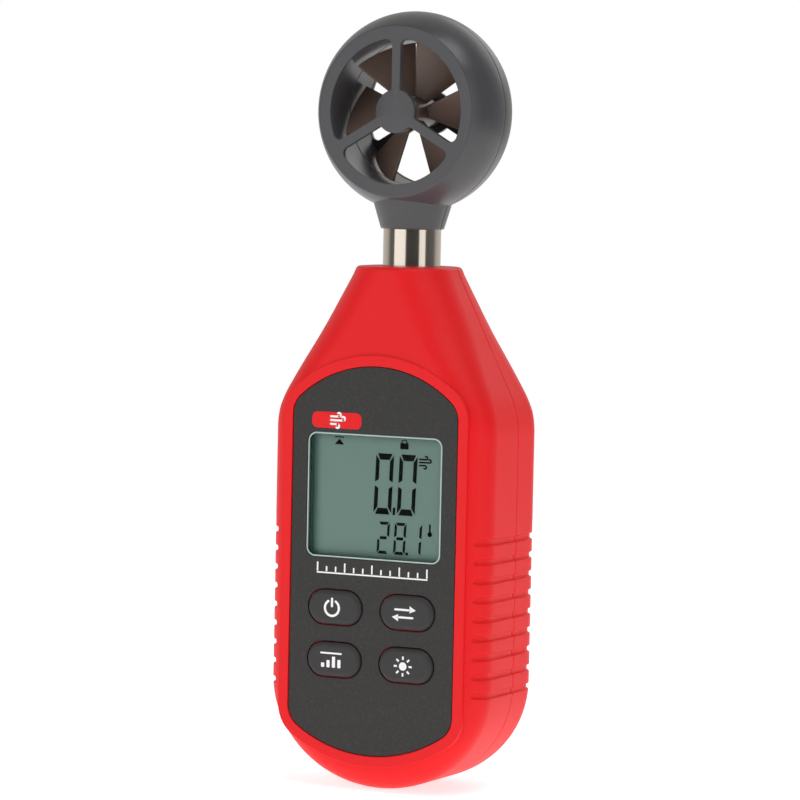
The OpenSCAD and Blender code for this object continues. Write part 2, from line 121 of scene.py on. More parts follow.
class CaseSizes(bpy.types.PropertyGroup):
    """Sizes of the case, its grip and its front panel."""
    wall: length("Wall", "Thickness of the shells", 2.0)
    seam: length("Seam edge", "Rounding of the two shells where they meet", 0.2)
    top_edge: length("Collar edge", "Rounding of the top of the collar", 0.7)
    groove_count: IntProperty(name="Grooves", description="Grip grooves on each side", default=9,
                              min=1, max=9)
    groove_pitch: length("Groove pitch", "Distance between the grip grooves", 3.91)
    groove_width: length("Groove width", "Width of a grip groove", 1.45)
    groove_depth: length("Groove depth", "Depth of a grip groove", 0.5)
    grip_h: length("Grip height", "Height of the middle groove above the toe", 36.8)
    rim: length("Rim", "Width of the raised rim round the panel", 2.4)


class HeadSizes(bpy.types.PropertyGroup):
    """Sizes of the vane head and the wheel in it."""
    arm: length("Arm width", "Width of an arm of the guard", 2.05)
    guard: length("Guard thickness", "Thickness of the guard", 1.1)
    disc: length("Disc radius", "Radius of the guard's middle disc", 4.5)
    blades: IntProperty(name="Blades", description="Blades on the vane wheel", default=6, min=2,
                        max=12)
    tilt: FloatProperty(name="Blade tilt", description="Tilt of a blade about its middle line",
                        default=radians(41.8), subtype="ANGLE")
    chord: length("Blade chord", "Half width of a blade at its tip", 7.3)
    blade: length("Blade thickness", "Thickness of a blade", 0.66)


class MeterColours(bpy.types.PropertyGroup):
    """Colours of the meter's plastics, rubber, print and metals."""
    case: tint("Case", "Red of the two shells", "f0141b")
    head: tint("Head", "Grey of the vane head", "47474a")
    panel: tint("Panel", "Dark face of the front panel", "2e2d2c")
    fleck: tint("Fleck", "Pale fleck in the panel and the head", "6a6a6c")
    key: tint("Key", "Rubber of the keys", "2d2c2c")
    display: tint("Display", "Middle of the display", "83a99c")
    # Painted shade: the darker display tone near its frame stands in for the frame's shadow. The window
    # wall uses the same colour.
    display_shade_and_wall: tint("Display edge", "Display near its frame", "5d8680")
    ink: tint("Display ink", "Dark segments of the display", "060807")
    print_white: tint("Print", "White print on the panel and keys", "ffffff")
    window: tint("Window", "Clear window over the display", "343f3d")
    # Painted highlight: the pale colour of the ring round the window stands in for the light caught along
    # the window's bevel.
    lip: tint("Window lip", "Pale edge of the window", "b9cfc9")
    nickel: tint("Nickel", "Plating of the neck tube", "d9cfc1")
    steel: tint("Steel", "Screws, shaft and contacts", "b9bbbd")
    brass: tint("Brass", "Bearings of the vane", "b9903f")
    vane: tint("Vane", "Brown of the vane wheel", "7d675c")
    board: tint("Board", "Solder mask of the boards", "1f5a38")
    chip: tint("Chip", "Moulding of the electronic parts", "1b1b1c")
    white: tint("Inner white", "Display frame and connector", "dcdbd5")
    strip: tint("Contact strip", "Rubber of the contact strips", "c9747f")
    sleeve: tint("Cell sleeve", "Wrap of the battery cells", "2f5384")
    magnet: tint("Magnet", "Face of the vane magnet", "6f7274")
    bead: tint("Sensor bead", "Glass bead of the temperature sensor", "b97a2c")
    cable: tint("Cable", "Jacket of the wires", "1d1d1e")
    floor: tint("Floor", "Studio floor", "f4f3f1")


def case_size(name):
    """A size of the case in millimetres."""
    return getattr(bpy.context.scene.meter_case, name) / MM


def head_size(name):
    """A size of the head in millimetres."""
    return getattr(bpy.context.scene.meter_head, name) / MM


def colour(name):
    """A colour of the meter with its alpha."""
    return (*getattr(bpy.context.scene.meter_colours, name), 1)


# ---------------------------------------------------------------- outlines
def soft_min(a, b, blend):
    """The smaller of two numbers, with a rounded change from one to the other."""
    return min(a, b) - max(blend - abs(a - b), 0) ** 2 / (4 * blend)


def soft_max(a, b, blend):
    """The larger of two numbers, with a rounded change from one to the other."""
    return -soft_min(-a, -b, blend)


def spread(start, end, steps):
    """Evenly spaced numbers from start to end, both included."""
    return [start + (end - start) * k / steps for k in range(steps + 1)]


def arc(x, h, radius, start, end, steps, hollow=False):
    """An arc in the plane of the display as (x, height, normal x, normal height), in degrees."""
    turn = -1 if hollow else 1
    angles = [radians(a) for a in spread(start, end, steps)]
    return [(x + radius * cos(a), h + radius * sin(a), turn * cos(a), turn * sin(a)) for a in angles]


def round_rect(x, h, width, height, radius, steps=8):
    """Outline of a rectangle with round corners."""
    outline = []
    for start, side, end in ((0, 1, 1), (90, -1, 1), (180, -1, -1), (270, 1, -1)):
        corner_x = x + side * (width / 2 - radius)
        corner_h = h + end * (height / 2 - radius)
        outline += arc(corner_x, corner_h, radius, start, start + 90, steps)
    return outline


def stadium(x, h, width, height, steps=20):
    """Outline of a bar with half-round ends."""
    reach = (width - height) / 2
    return (arc(x + reach, h, height / 2, -90, 90, steps)
            + arc(x - reach, h, height / 2, 90, 270, steps))


def circle(x, h, radius, steps=48):
    """Outline of a circle."""
    return arc(x, h, radius, 0, 360 * (1 - 1 / steps), steps - 1)


def panel_outline(grow=0.0):
    """Outline of the front panel: straight sides, an arched top and a rounder foot."""
    corner_r, arch_r, foot_r = 5, 26, 30
    corner_x = high("face_panel").x - corner_r
    arch_h = high("face_panel").z - arch_r
    foot_h = low("face_panel").z + foot_r
    upper_h = arch_h + sqrt((arch_r - corner_r) ** 2 - corner_x ** 2)
    lower_h = foot_h - sqrt((foot_r - corner_r) ** 2 - corner_x ** 2)
    up = degrees(atan2(upper_h - arch_h, corner_x))
    down = degrees(atan2(foot_h - lower_h, corner_x))
    return (arc(corner_x, upper_h, corner_r + grow, 0, up, 10)
            + arc(0, arch_h, arch_r + grow, up, 180 - up, 40)
            + arc(-corner_x, upper_h, corner_r + grow, 180 - up, 180, 10)
            + arc(-corner_x, lower_h, corner_r + grow, 180, 180 + down, 10)
            + arc(0, foot_h, foot_r + grow, 180 + down, 360 - down, 40)
            + arc(corner_x, lower_h, corner_r + grow, 360 - down, 360, 10))


# ---------------------------------------------------------------- modelling steps
def bare():
    """Leaves edit mode and deselects everything."""
    if bpy.context.mode != "OBJECT":
        bpy.ops.object.mode_set(mode="OBJECT")
    bpy.ops.object.select_all(action="DESELECT")


def pick(piece):
    """Selects one piece alone and makes it active."""
    bare()
    piece.select_set(True)
    bpy.context.view_layer.objects.active = piece
    return piece


def volume(piece):
    """Volume inside a closed piece; it is negative when the faces look inwards."""
    piece.data.calc_loop_triangles()
    points = [point.co for point in piece.data.vertices]
    corners = [[points[k] for k in face.vertices] for face in piece.data.loop_triangles]
    return sum(a.dot(b.cross(c)) for a, b, c in corners) / 6


def solid(piece):
    """The piece itself, or an error if it isn't a shape with a volume."""
    if volume(piece) <= 0:
        raise RuntimeError(f"{piece.name} came out empty or inside out")
    return piece


def close_up(piece):
    """Merges seams and poles, fills what is open and turns every face outwards."""
    pick(piece)
    bpy.ops.object.mode_set(mode="EDIT")
    bpy.ops.mesh.select_all(action="SELECT")
    bpy.ops.mesh.remove_doubles(threshold=0.002 * MM)
    bpy.ops.mesh.delete_loose(use_verts=True, use_edges=True, use_faces=False)
    bpy.ops.mesh.select_all(action="SELECT")
    bpy.ops.mesh.fill_holes(sides=0)
    bpy.ops.mesh.select_all(action="SELECT")
    bpy.ops.mesh.normals_make_consistent(inside=False)
    bpy.ops.object.mode_set(mode="OBJECT")
    if volume(piece) < 0:
        bpy.ops.object.mode_set(mode="EDIT")
        bpy.ops.mesh.select_all(action="SELECT")
        bpy.ops.mesh.flip_normals()
        bpy.ops.object.mode_set(mode="OBJECT")
    return piece


def net(across, along, place):
    """A grid primitive with every point moved to place(i, j), then closed up."""
    bare()
    bpy.ops.mesh.primitive_grid_add(x_subdivisions=across, y_subdivisions=along, size=1)
    piece = bpy.context.object
    for point in piece.data.vertices:
        i = round((point.co.x + 0.5) * across)
        j = round((point.co.y + 0.5) * along)
        point.co = place(i, j)
    return close_up(piece)


def plate(outline, profile):
    """An outline drawn through a profile of (y, inset): the insets round or widen its edges."""
    count = len(outline)

    def place(i, j):
        x, h, normal_x, normal_h = outline[i % count]
        y, inset = profile[j]
        return spot(x - normal_x * inset, y, h - normal_h * inset)

    return net(count, len(profile) - 1, place)


def turned(profile, axis="Y", x=0.0, y=0.0, h=0.0, steps=96):
    """A closed profile of (radius, place along the axis), spun once round an axis along Y or Z."""
    bare()
    bpy.ops.mesh.primitive_circle_add(vertices=len(profile), fill_type="NOTHING")
    piece = bpy.context.object
    for point, (radius, along) in zip(piece.data.vertices, profile):
        point.co = spot(x + radius, along, h) if axis == "Y" else spot(x + radius, y, along)
    bpy.ops.object.mode_set(mode="EDIT")
    bpy.ops.mesh.select_all(action="SELECT")
    bpy.ops.mesh.spin(steps=steps, angle=2 * pi, center=spot(x, y, h),
                      axis=(0, 1, 0) if axis == "Y" else (0, 0, 1))
    return close_up(piece)


def block(x, y, h, edge=0.0):
    """A box between pairs of limits, with its edges bevelled."""
    centre = spot(sum(x) / 2, sum(y) / 2, sum(h) / 2)
    bare()
    bpy.ops.mesh.primitive_cube_add(size=MM, location=centre,
                                    scale=(x[1] - x[0], y[1] - y[0], h[1] - h[0]))
    bpy.ops.object.transform_apply(location=True, rotation=True, scale=True)
    if edge:
        bpy.ops.object.mode_set(mode="EDIT")
        bpy.ops.mesh.select_all(action="SELECT")
        bpy.ops.mesh.bevel(offset=edge * MM, segments=3, affect="EDGES")
        bpy.ops.object.mode_set(mode="OBJECT")
    return bpy.context.object


def post(x, h, radius, y0, y1, steps=40):
    """A round bar along Y."""
    return plate(circle(x, h, radius, steps), [(y0, 0), (y1, 0)])


def joined(pieces):
    """Several pieces as one object."""
    bare()
    for piece in pieces:
        piece.select_set(True)
    bpy.context.view_layer.objects.active = pieces[0]
    bpy.ops.object.join()
    return bpy.context.object


def carve(piece, *tools, operation="DIFFERENCE"):
    """Cuts a piece with tools that stand clear of each other, or adds them to it."""
    tool = joined(list(tools)) if len(tools) > 1 else tools[0]
    pick(piece)
    cut = piece.modifiers.new("Carve", "BOOLEAN")
    cut.operation = operation
    cut.solver = "EXACT"
    cut.object = tool
    bpy.ops.object.modifier_apply(modifier=cut.name)
    bpy.data.objects.remove(tool)
    return solid(piece)


def add_on(piece, *tools):
    """Adds tools that stand clear of each other to a piece."""
    return carve(piece, *tools, operation="UNION")


def copy_of(piece, shift):
    """A copy with its own mesh, moved by a vector in millimetres."""
    twin = piece.copy()
    twin.data = piece.data.copy()
    bpy.context.scene.collection.objects.link(twin)
    twin.data.transform(Matrix.Translation(Vector(shift) * MM))
    return twin


def dress(piece, name, look, body, *nodes, sharp=35, slot=None):
    """Smooths a piece, gives it its finish and body, and hides the CAD nodes it stands for."""
    pick(solid(piece))
    piece.name = piece.data.name = name
    bpy.ops.object.shade_smooth_by_angle(angle=radians(sharp))
    weights = piece.modifiers.new("Even shading", "WEIGHTED_NORMAL")
    weights.keep_sharp = True
    bpy.ops.object.modifier_apply(modifier=weights.name)
    piece.data.materials.clear()
    piece.data.materials.append(FINISHES[look])
    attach(piece, body)
    if nodes:
        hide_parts(*nodes)
    return piece


# ---------------------------------------------------------------- finishes
def effect(name, inputs, outputs):
    """An empty shader node group with named sockets, and its input and output nodes."""
    tree = bpy.data.node_groups.new(name, "ShaderNodeTree")
    for socket, kind, value in inputs:
        made = tree.interface.new_socket(name=socket, in_out="INPUT", socket_type=kind)
        made.default_value = value
    for socket, kind in outputs:
        tree.interface.new_socket(name=socket, in_out="OUTPUT", socket_type=kind)
    return tree, tree.nodes.new("NodeGroupInput"), tree.nodes.new("NodeGroupOutput")


def noise(tree, scale, detail=2.0, source=None):
    """A noise texture over the object's own space; scale is a socket or a number."""
    place = source or tree.nodes.new("ShaderNodeTexCoord").outputs["Object"]
    texture = tree.nodes.new("ShaderNodeTexNoise")
    texture.inputs["Detail"].default_value = detail
    tree.links.new(place, texture.inputs["Vector"])
    if isinstance(scale, (int, float)):
        texture.inputs["Scale"].default_value = scale
    else:
        tree.links.new(scale, texture.inputs["Scale"])
    return texture.outputs["Fac"]


def maths(tree, kind, a, b=None, clamp=False):
    """A math node; each term is a socket or a number."""
    node = tree.nodes.new("ShaderNodeMath")
    node.operation = kind
    node.use_clamp = clamp
    for socket, term in zip(node.inputs, (a, b)):
        if isinstance(term, (int, float)):
            socket.default_value = term
        elif term is not None:
            tree.links.new(term, socket)
    return node.outputs[0]


def mixed(tree, share, first, second):
    """A mix of two colours; each term is a socket, a number or a colour."""
    node = tree.nodes.new("ShaderNodeMix")
    node.data_type = "RGBA"
    for socket, term in zip((node.inputs[0], node.inputs[6], node.inputs[7]), (share, first, second)):
        if isinstance(term, (int, float, tuple)):
            socket.default_value = term
        else:
            tree.links.new(term, socket)
    return node.outputs[2]


def moulded_grain():
    """Height of the fine texture of a mould: small pits on a slower swell."""
    tree, given, result = effect("Moulded grain", [("Scale", "NodeSocketFloat", 2500)],
                                 [("Height", "NodeSocketFloat")])
    pits = noise(tree, given.outputs["Scale"], 3)
    swell = noise(tree, maths(tree, "MULTIPLY", given.outputs["Scale"], 0.12), 1)
    tree.links.new(maths(tree, "ADD", pits, maths(tree, "MULTIPLY", swell, 0.6)),
                   result.inputs["Height"])
    return tree


def tone_drift():
    """A colour that grows a little lighter and darker over the surface."""
    tree, given, result = effect("Tone drift", [("Colour", "NodeSocketColor", (0.5, 0.5, 0.5, 1)),
                                                ("Scale", "NodeSocketFloat", 60),
                                                ("Amount", "NodeSocketFloat", 0.05)],
                                 [("Colour", "NodeSocketColor")])
    swing = maths(tree, "SUBTRACT", noise(tree, given.outputs["Scale"], 3), 0.5)
    value = maths(tree, "ADD", maths(tree, "MULTIPLY", swing, given.outputs["Amount"]), 1)
    shift = tree.nodes.new("ShaderNodeHueSaturation")
    tree.links.new(value, shift.inputs["Value"])
    tree.links.new(given.outputs["Colour"], shift.inputs["Color"])
    tree.links.new(shift.outputs["Color"], result.inputs["Colour"])
    return tree


def handled_gloss():
    """Roughness with the faint smears of handling."""
    tree, given, result = effect("Handled gloss", [("Roughness", "NodeSocketFloat", 0.4),
                                                   ("Scale", "NodeSocketFloat", 90),
                                                   ("Spread", "NodeSocketFloat", 0.08)],
                                 [("Roughness", "NodeSocketFloat")])
    swing = maths(tree, "SUBTRACT", noise(tree, given.outputs["Scale"], 4), 0.5)
    smear = maths(tree, "MULTIPLY", swing, given.outputs["Spread"])
    tree.links.new(maths(tree, "ADD", given.outputs["Roughness"], smear, clamp=True),
                   result.inputs["Roughness"])
    return tree


def settled_dust():
    """A colour with a trace of pale dust on what faces up."""
    tree, given, result = effect("Settled dust", [("Colour", "NodeSocketColor", (0.5, 0.5, 0.5, 1)),
                                                  ("Amount", "NodeSocketFloat", 0.03)],
                                 [("Colour", "NodeSocketColor")])
    facing = tree.nodes.new("ShaderNodeSeparateXYZ")
    tree.links.new(tree.nodes.new("ShaderNodeNewGeometry").outputs["Normal"], facing.inputs[0])
    upward = maths(tree, "MAXIMUM", facing.outputs["Z"], 0)
    patch = maths(tree, "MULTIPLY", upward, noise(tree, 700, 5))
    share = maths(tree, "MULTIPLY", patch, given.outputs["Amount"], clamp=True)
    tree.links.new(mixed(tree, share, given.outputs["Colour"], (0.72, 0.7, 0.66, 1)),
                   result.inputs["Colour"])
    return tree


def fine_fleck():
    """Mask of small pale flecks, as in a textured paint or a glass-filled plastic."""
    tree, given, result = effect("Fine fleck", [("Scale", "NodeSocketFloat", 2200),
                                                ("Amount", "NodeSocketFloat", 0.2)],
                                 [("Mask", "NodeSocketFloat")])
    grain = noise(tree, given.outputs["Scale"], 2)
    peak = maths(tree, "MULTIPLY", maths(tree, "SUBTRACT", grain, 0.5), 4, clamp=True)
    tree.links.new(maths(tree, "MULTIPLY", peak, given.outputs["Amount"], clamp=True),
                   result.inputs["Mask"])
    return tree


def drawn_lines():
    """Height of fine lines along Z, as left by drawing and polishing a tube or a rod."""
    tree, given, result = effect("Drawn lines", [("Scale", "NodeSocketFloat", 3000)],
                                 [("Height", "NodeSocketFloat")])
    stretch = tree.nodes.new("ShaderNodeVectorMath")
    stretch.operation = "MULTIPLY"
    stretch.inputs[1].default_value = (1, 1, 0.03)
    tree.links.new(tree.nodes.new("ShaderNodeTexCoord").outputs["Object"], stretch.inputs[0])
    tree.links.new(noise(tree, given.outputs["Scale"], 2, stretch.outputs[0]), result.inputs["Height"])
    return tree


EFFECTS = {}


def placed(tree, name, **values):
    """One of the shared effects in a material, with its values."""
    node = tree.nodes.new("ShaderNodeGroup")
    node.node_tree = EFFECTS[name]
    for socket, value in values.items():
        if isinstance(value, (int, float, tuple)):
            node.inputs[socket].default_value = value
        else:
            tree.links.new(value, node.inputs[socket])
    return node.outputs[0]


FINISHES = {}


def finish(name, base, rough, drift=0.05, smear=0.06, grain=2500, relief=0.012, lines=False,
           fleck=0.0, dust=0.03, **sockets):
    """A material built from the shared effects; extra sockets are set on the shader itself."""
    material = bpy.data.materials.new(f"{name}_finish")
    FINISHES[name] = material
    material.use_nodes = True
    tree = material.node_tree
    shader = tree.nodes["Principled BSDF"]
    tone = placed(tree, "Tone drift", Colour=colour(base), Scale=70, Amount=drift)
    if fleck:
        mask = placed(tree, "Fine fleck", Scale=2300, Amount=fleck)
        tone = mixed(tree, mask, tone, colour("fleck"))
    tree.links.new(placed(tree, "Settled dust", Colour=tone, Amount=dust), shader.inputs["Base Color"])
    tree.links.new(placed(tree, "Handled gloss", Roughness=rough, Scale=110, Spread=smear),
                   shader.inputs["Roughness"])
    bump = tree.nodes.new("ShaderNodeBump")
    bump.inputs["Strength"].default_value = 0.6
    bump.inputs["Distance"].default_value = relief * MM
    height = placed(tree, "Drawn lines" if lines else "Moulded grain", Scale=grain)
    tree.links.new(height, bump.inputs["Height"])
    tree.links.new(bump.outputs["Normal"], shader.inputs["Normal"])
    for socket, value in sockets.items():
        shader.inputs[socket.replace("_", " ")].default_value = value
    return material


def display_face():
    """The display's reflective layer: grey green, with painted shade that darkens it towards its frame,
    where the frame's shadow falls.
    """
    material = finish("display_glass", "display", 0.32, drift=0.03, relief=0.002, dust=0)
    tree = material.node_tree
    shader = tree.nodes["Principled BSDF"]
    window = middle("display_window")
    half_x, half_h = (high("display_window") - low("display_window")).xz / 2
    place = tree.nodes.new("ShaderNodeMapping")
    place.vector_type = "TEXTURE"
    place.inputs["Location"].default_value = spot(window.x, 0, window.z)
    tree.links.new(tree.nodes.new("ShaderNodeTexCoord").outputs["Object"], place.inputs["Vector"])
    axes = tree.nodes.new("ShaderNodeSeparateXYZ")
    tree.links.new(place.outputs[0], axes.inputs[0])
    # Painted shade: a mask that darkens the display within 2.6 mm of its frame, in place of the frame's
    # shadow.
    painted_edge_shades = []
    for axis, half in (("X", half_x), ("Z", half_h)):
        outward = maths(tree, "ABSOLUTE", axes.outputs[axis])
        near = maths(tree, "SUBTRACT", outward, (half - 2.6) * MM)
        painted_edge_shades.append(maths(tree, "DIVIDE", near, 2.6 * MM, clamp=True))
    share = maths(tree, "POWER", maths(tree, "MAXIMUM", *painted_edge_shades), 1.6)
    tone = placed(tree, "Tone drift", Colour=colour("display"), Scale=70, Amount=0.03)
    tree.links.new(mixed(tree, share, tone, colour("display_shade_and_wall")), shader.inputs["Base Color"])
    return material


def clear_sheet():
    """The clear window: it grows more mirror-like, and less clear, at a grazing view."""
    material = finish("clear_window", "window", 0.05, drift=0.02, smear=0.02, relief=0.0004, dust=0.0)
    tree = material.node_tree
    fresnel = tree.nodes.new("ShaderNodeFresnel")
    fresnel.inputs["IOR"].default_value = 1.49
    share = maths(tree, "MULTIPLY", fresnel.outputs[0], 0.7, clamp=True)
    tree.links.new(share, tree.nodes["Principled BSDF"].inputs["Alpha"])
    return material


def make_finishes():
    """Every finish of the meter, by name."""
    for group in (moulded_grain(), tone_drift(), handled_gloss(), settled_dust(), fine_fleck(),
                  drawn_lines()):
        EFFECTS[group.name] = group
    finish("case_red", "case", 0.46, grain=3000, relief=0.014, drift=0.03, Specular_IOR_Level=0.26)
    finish("head_grey", "head", 0.32, grain=2600, relief=0.016, fleck=0.08, Specular_IOR_Level=0.5)
    finish("panel_dark", "panel", 0.5, grain=2300, relief=0.03, fleck=0.1, Specular_IOR_Level=0.35)
    finish("key_rubber", "key", 0.62, grain=2600, relief=0.02, fleck=0.06, Sheen_Weight=0.08)
    clear_sheet()
    # Painted highlight: the pale, glossy ring round the window, in place of the light line on its bevel.
    finish("window_lip_highlight", "lip", 0.12, drift=0.05, smear=0.04, relief=0.002, Coat_Weight=0.3)
    finish("display_ink", "ink", 0.6, relief=0.001, dust=0, Specular_IOR_Level=0.05)
    # The window wall takes the same grey green as the display's painted edge shade.
    finish("window_wall", "display_shade_and_wall", 0.4, drift=0.06, relief=0.004)
    finish("print_white", "print_white", 0.5, drift=0.03, grain=5000, relief=0.004)
    finish("neck_nickel", "nickel", 0.14, grain=4000, relief=0.0015, lines=True, smear=0.08,
           drift=0.03, Metallic=1.0)
    finish("screw_steel", "steel", 0.32, grain=4000, relief=0.004, Metallic=1.0)
    finish("contact_metal", "steel", 0.28, grain=3000, relief=0.003, Metallic=1.0)
    finish("shaft_steel", "steel", 0.2, grain=4000, relief=0.002, Metallic=1.0)
    finish("bearing_brass", "brass", 0.3, grain=3500, relief=0.004, Metallic=1.0)
    finish("vane_brown", "vane", 0.34, grain=2600, relief=0.008, drift=0.08, Transmission_Weight=0.12,
           Specular_IOR_Level=0.5)
    finish("board_green", "board", 0.35, grain=1200, relief=0.01, drift=0.12)
    finish("chip_black", "chip", 0.6, grain=3500, relief=0.01)
    finish("inner_white", "white", 0.5, relief=0.008)
    finish("strip_rubber", "strip", 0.6, relief=0.01)
    finish("cell_sleeve", "sleeve", 0.3, relief=0.006, drift=0.08, Coat_Weight=0.3)
    finish("magnet_grey", "magnet", 0.3, relief=0.006, Metallic=0.9)
    finish("sensor_bead", "bead", 0.15, relief=0.001, Coat_Weight=0.5)
    finish("cable_black", "cable", 0.55, relief=0.01)
    display_face()


INNER_FINISHES = {
    "display_frame": "inner_white", "backlight": "inner_white", "cable_socket": "inner_white",
    "contact_strips": "strip_rubber", "main_board": "board_green", "sensor_board": "board_green",
    "processor": "chip_black", "board_parts": "chip_black", "rotation_sensor": "chip_black",
    "board_screws": "screw_steel", "key_mat": "key_rubber", "key_domes": "contact_metal",
    "battery_springs": "contact_metal", "battery_plates": "contact_metal",
    "vane_shaft": "shaft_steel", "front_bearing": "bearing_brass", "rear_bearing": "bearing_brass",
    "vane_magnet": "magnet_grey", "temperature_sensor": "sensor_bead",
    "sensor_wires": "cable_black", "sensor_cable": "cable_black",
}


# ---------------------------------------------------------------- case
TOE_H = 22
ARC_STEPS = 28
SEAM_GAP = 0.03
# half width of the collar and of the shoulders at the top, and their growth for each mm downwards
COLLAR_W, COLLAR_GROWTH = 10.3, 0.22
SHOULDER_W, SHOULDER_GROWTH = 10, 0.51
# half depth at the top, and its growth for each mm downwards
TOP_D, DEPTH_GROWTH = 11.3, 0.13
# radius of the long edges below the shoulders, its growth above them, and its most
EDGE_R, EDGE_GROWTH, EDGE_MOST, SHOULDER_H = 6, 0.25, 10, 78


def side_w(h):
    """Half width of the case above its toe: straight sides, shoulders and a collar."""
    below = CASE_TOP - h
    shoulder = soft_max(COLLAR_W + COLLAR_GROWTH * below, SHOULDER_W + SHOULDER_GROWTH * below, 0.3)
    return soft_min(HALF_W, shoulder, 2.2)


def side_d(h):
    """Half depth of the case at a height."""
    return soft_min(HALF_D, TOP_D + DEPTH_GROWTH * (CASE_TOP - h), 0.6)


def side_r(h):
    """Radius of the long edges at a height."""
    return min(side_w(h) - 0.4, soft_min(EDGE_MOST, EDGE_R + EDGE_GROWTH * max(h - SHOULDER_H, 0), 1))


def station(h, inset=0.0):
    """Half width, height and outward normal of the case's outline at a height."""
    if h < TOE_H:
        angle = acos(1 - h / TOE_H)
        x, normal = HALF_W * sin(angle), (TOE_H * sin(angle), -HALF_W * cos(angle))
    else:
        x, normal = side_w(h), (1, 0)
    size = hypot(*normal)
    return x, h, normal[0] / size, normal[1] / size, inset


def groove_heights():
    """Heights of the middles of the grip grooves."""
    count = bpy.context.scene.meter_case.groove_count
    return [case_size("grip_h") + (k - (count - 1) / 2) * case_size("groove_pitch")
            for k in range(count)]


def case_stations():
    """The right half of the case's outline, close together over the lips of the grooves."""
    edge = case_size("top_edge")
    half = case_size("groove_width") / 2
    lips = [0.4 * half, 0.62 * half, 0.74 * half, 0.86 * half, half, 1.14 * half]
    grooves = groove_heights()
    toe = [TOE_H * (1 - cos(radians(2.4 * k))) for k in range(25)]
    plain = [h for h in spread(11, CASE_TOP - edge, 107)
             if all(abs(h - middle_h) > 1.3 * half for middle_h in grooves)]
    rings = [h + side * lip for h in grooves for lip in lips for side in (-1, 1)]
    top = [station(CASE_TOP - edge * (1 - sin(t)), edge * (1 - cos(t)))
           for t in (radians(a) for a in (22.5, 45, 67.5, 90))]
    return [station(h) for h in sorted(toe + plain + grooves + rings)] + top


def groove_depth(h, past_end, grooves):
    """Depth of the grip grooves at a height; past_end is how far the place lies past their ends."""
    half = case_size("groove_width") / 2
    away = min(abs(h - middle_h) for middle_h in grooves)
    share = (hypot(away, max(past_end + half, 0)) - 0.55 * half) / (0.5 * half)
    share = min(max(share, 0), 1)
    return case_size("groove_depth") * (1 - share * share * (3 - 2 * share))


def case_column(side, place, grooves, last):
    """Points at one station: over the outside from the face to the seam, and back inside."""
    x, h, normal_x, normal_h, drawn_in = place
    wall, seam = case_size("wall"), case_size("seam")
    depth, radius = side_d(h), side_r(h)
    edge_y = MID_Y + side * (depth - radius)
    seam_y = PART_Y + side * seam
    start = asin(min(max(side * (seam_y - edge_y) / radius, 0), 1))
    flat = abs(seam_y - edge_y) if start == 0 else 0
    groove_end = flat + 6 * acos(0.6)
    points = []

    def add(share, angle, inset, y=None):
        inward = inset * cos(angle) + radius * (1 - cos(angle))
        if y is None:
            reach_y = depth - radius * (1 - sin(angle)) - inset * sin(angle)
            y = MID_Y + side * max(reach_y, side * (seam_y - MID_Y))
        width = (x - normal_x * inward) * (1 if last else share)
        points.append((width, y, h - normal_h * inward))

    for share in (0, 0.35, 0.7):
        add(share, pi / 2, drawn_in)
    for angle in spread(pi / 2, start, ARC_STEPS):
        reach = flat + radius * (angle - start)
        add(1, angle, drawn_in + groove_depth(h, reach - groove_end, grooves))
    sunk = groove_depth(h, -groove_end, grooves)
    flat_from = edge_y if start == 0 else seam_y
    for y in spread(flat_from, seam_y, 6)[1:]:
        add(1, start, drawn_in + sunk, y)
    for turn in (radians(30), radians(60), radians(90)):
        rounded = seam * (1 - cos(turn))
        add(1, start, drawn_in + sunk + rounded, seam_y - side * (seam - SEAM_GAP) * sin(turn))
    add(1, start, wall, PART_Y + side * SEAM_GAP)
    for angle in spread(start, pi / 2, 8):
        add(1, angle, wall)
    for share in (0.7, 0.35, 0):
        add(share, pi / 2, wall)
    inside = len(points) - 13
    roof = CASE_TOP - wall
    return [(px, py, min(ph, roof) if k >= inside else ph) for k, (px, py, ph) in enumerate(points)]


def half_case(side):
    """One half of the case as a closed wall: side -1 is the front and 1 the back."""
    grooves = groove_heights()
    stations = case_stations()
    right = [case_column(side, place, grooves, place is stations[-1]) for place in stations]
    left = [[(-x, y, h) for x, y, h in column] for column in reversed(right[1:])]
    columns = right + left
    count = len(columns)
    return net(count, len(right[0]) - 1, lambda i, j: spot(*columns[i % count][j]))


def widened(y_face, y_end, round_by=0.15, past=0.6):
    """Profile of a cutter that leaves a rounded edge at the face and runs on to y_end."""
    way = 1 if y_end > y_face else -1
    return [(y_face - way * past, -round_by - past), (y_face, -round_by),
            (y_face + way * 0.3 * round_by, -0.3 * round_by), (y_face + way * round_by, 0), (y_end, 0)]


CASE_SCREWS = [(-11, 90), (11, 90), (-9, 10.8), (9, 10.8)]
BOARD_SCREWS = [(-15.8, 15.8), (15.8, 15.8), (-16.2, 79.6), (16.2, 79.6)]
NECK_HOLE_R = 6.05


def neck_cutter():
    """The round hole in the collar, with a small chamfer at its mouth."""
    mouth = NECK_HOLE_R + 0.25
    return turned([(0, 103.5), (NECK_HOLE_R, 103.5), (NECK_HOLE_R, CASE_TOP - 0.25),
                   (mouth + 1, CASE_TOP + 1), (0, CASE_TOP + 1)], axis="Z")


def neck_bridge(y0, y1):
    """Half of the bridge that holds the neck tube, as a bar with a round bite out of it."""
    bar = block((-10.4, 10.4), (y0, y1), (101, 103))
    return carve(bar, turned([(0, 100), (6.1, 100), (6.1, 104), (0, 104)], axis="Z"))


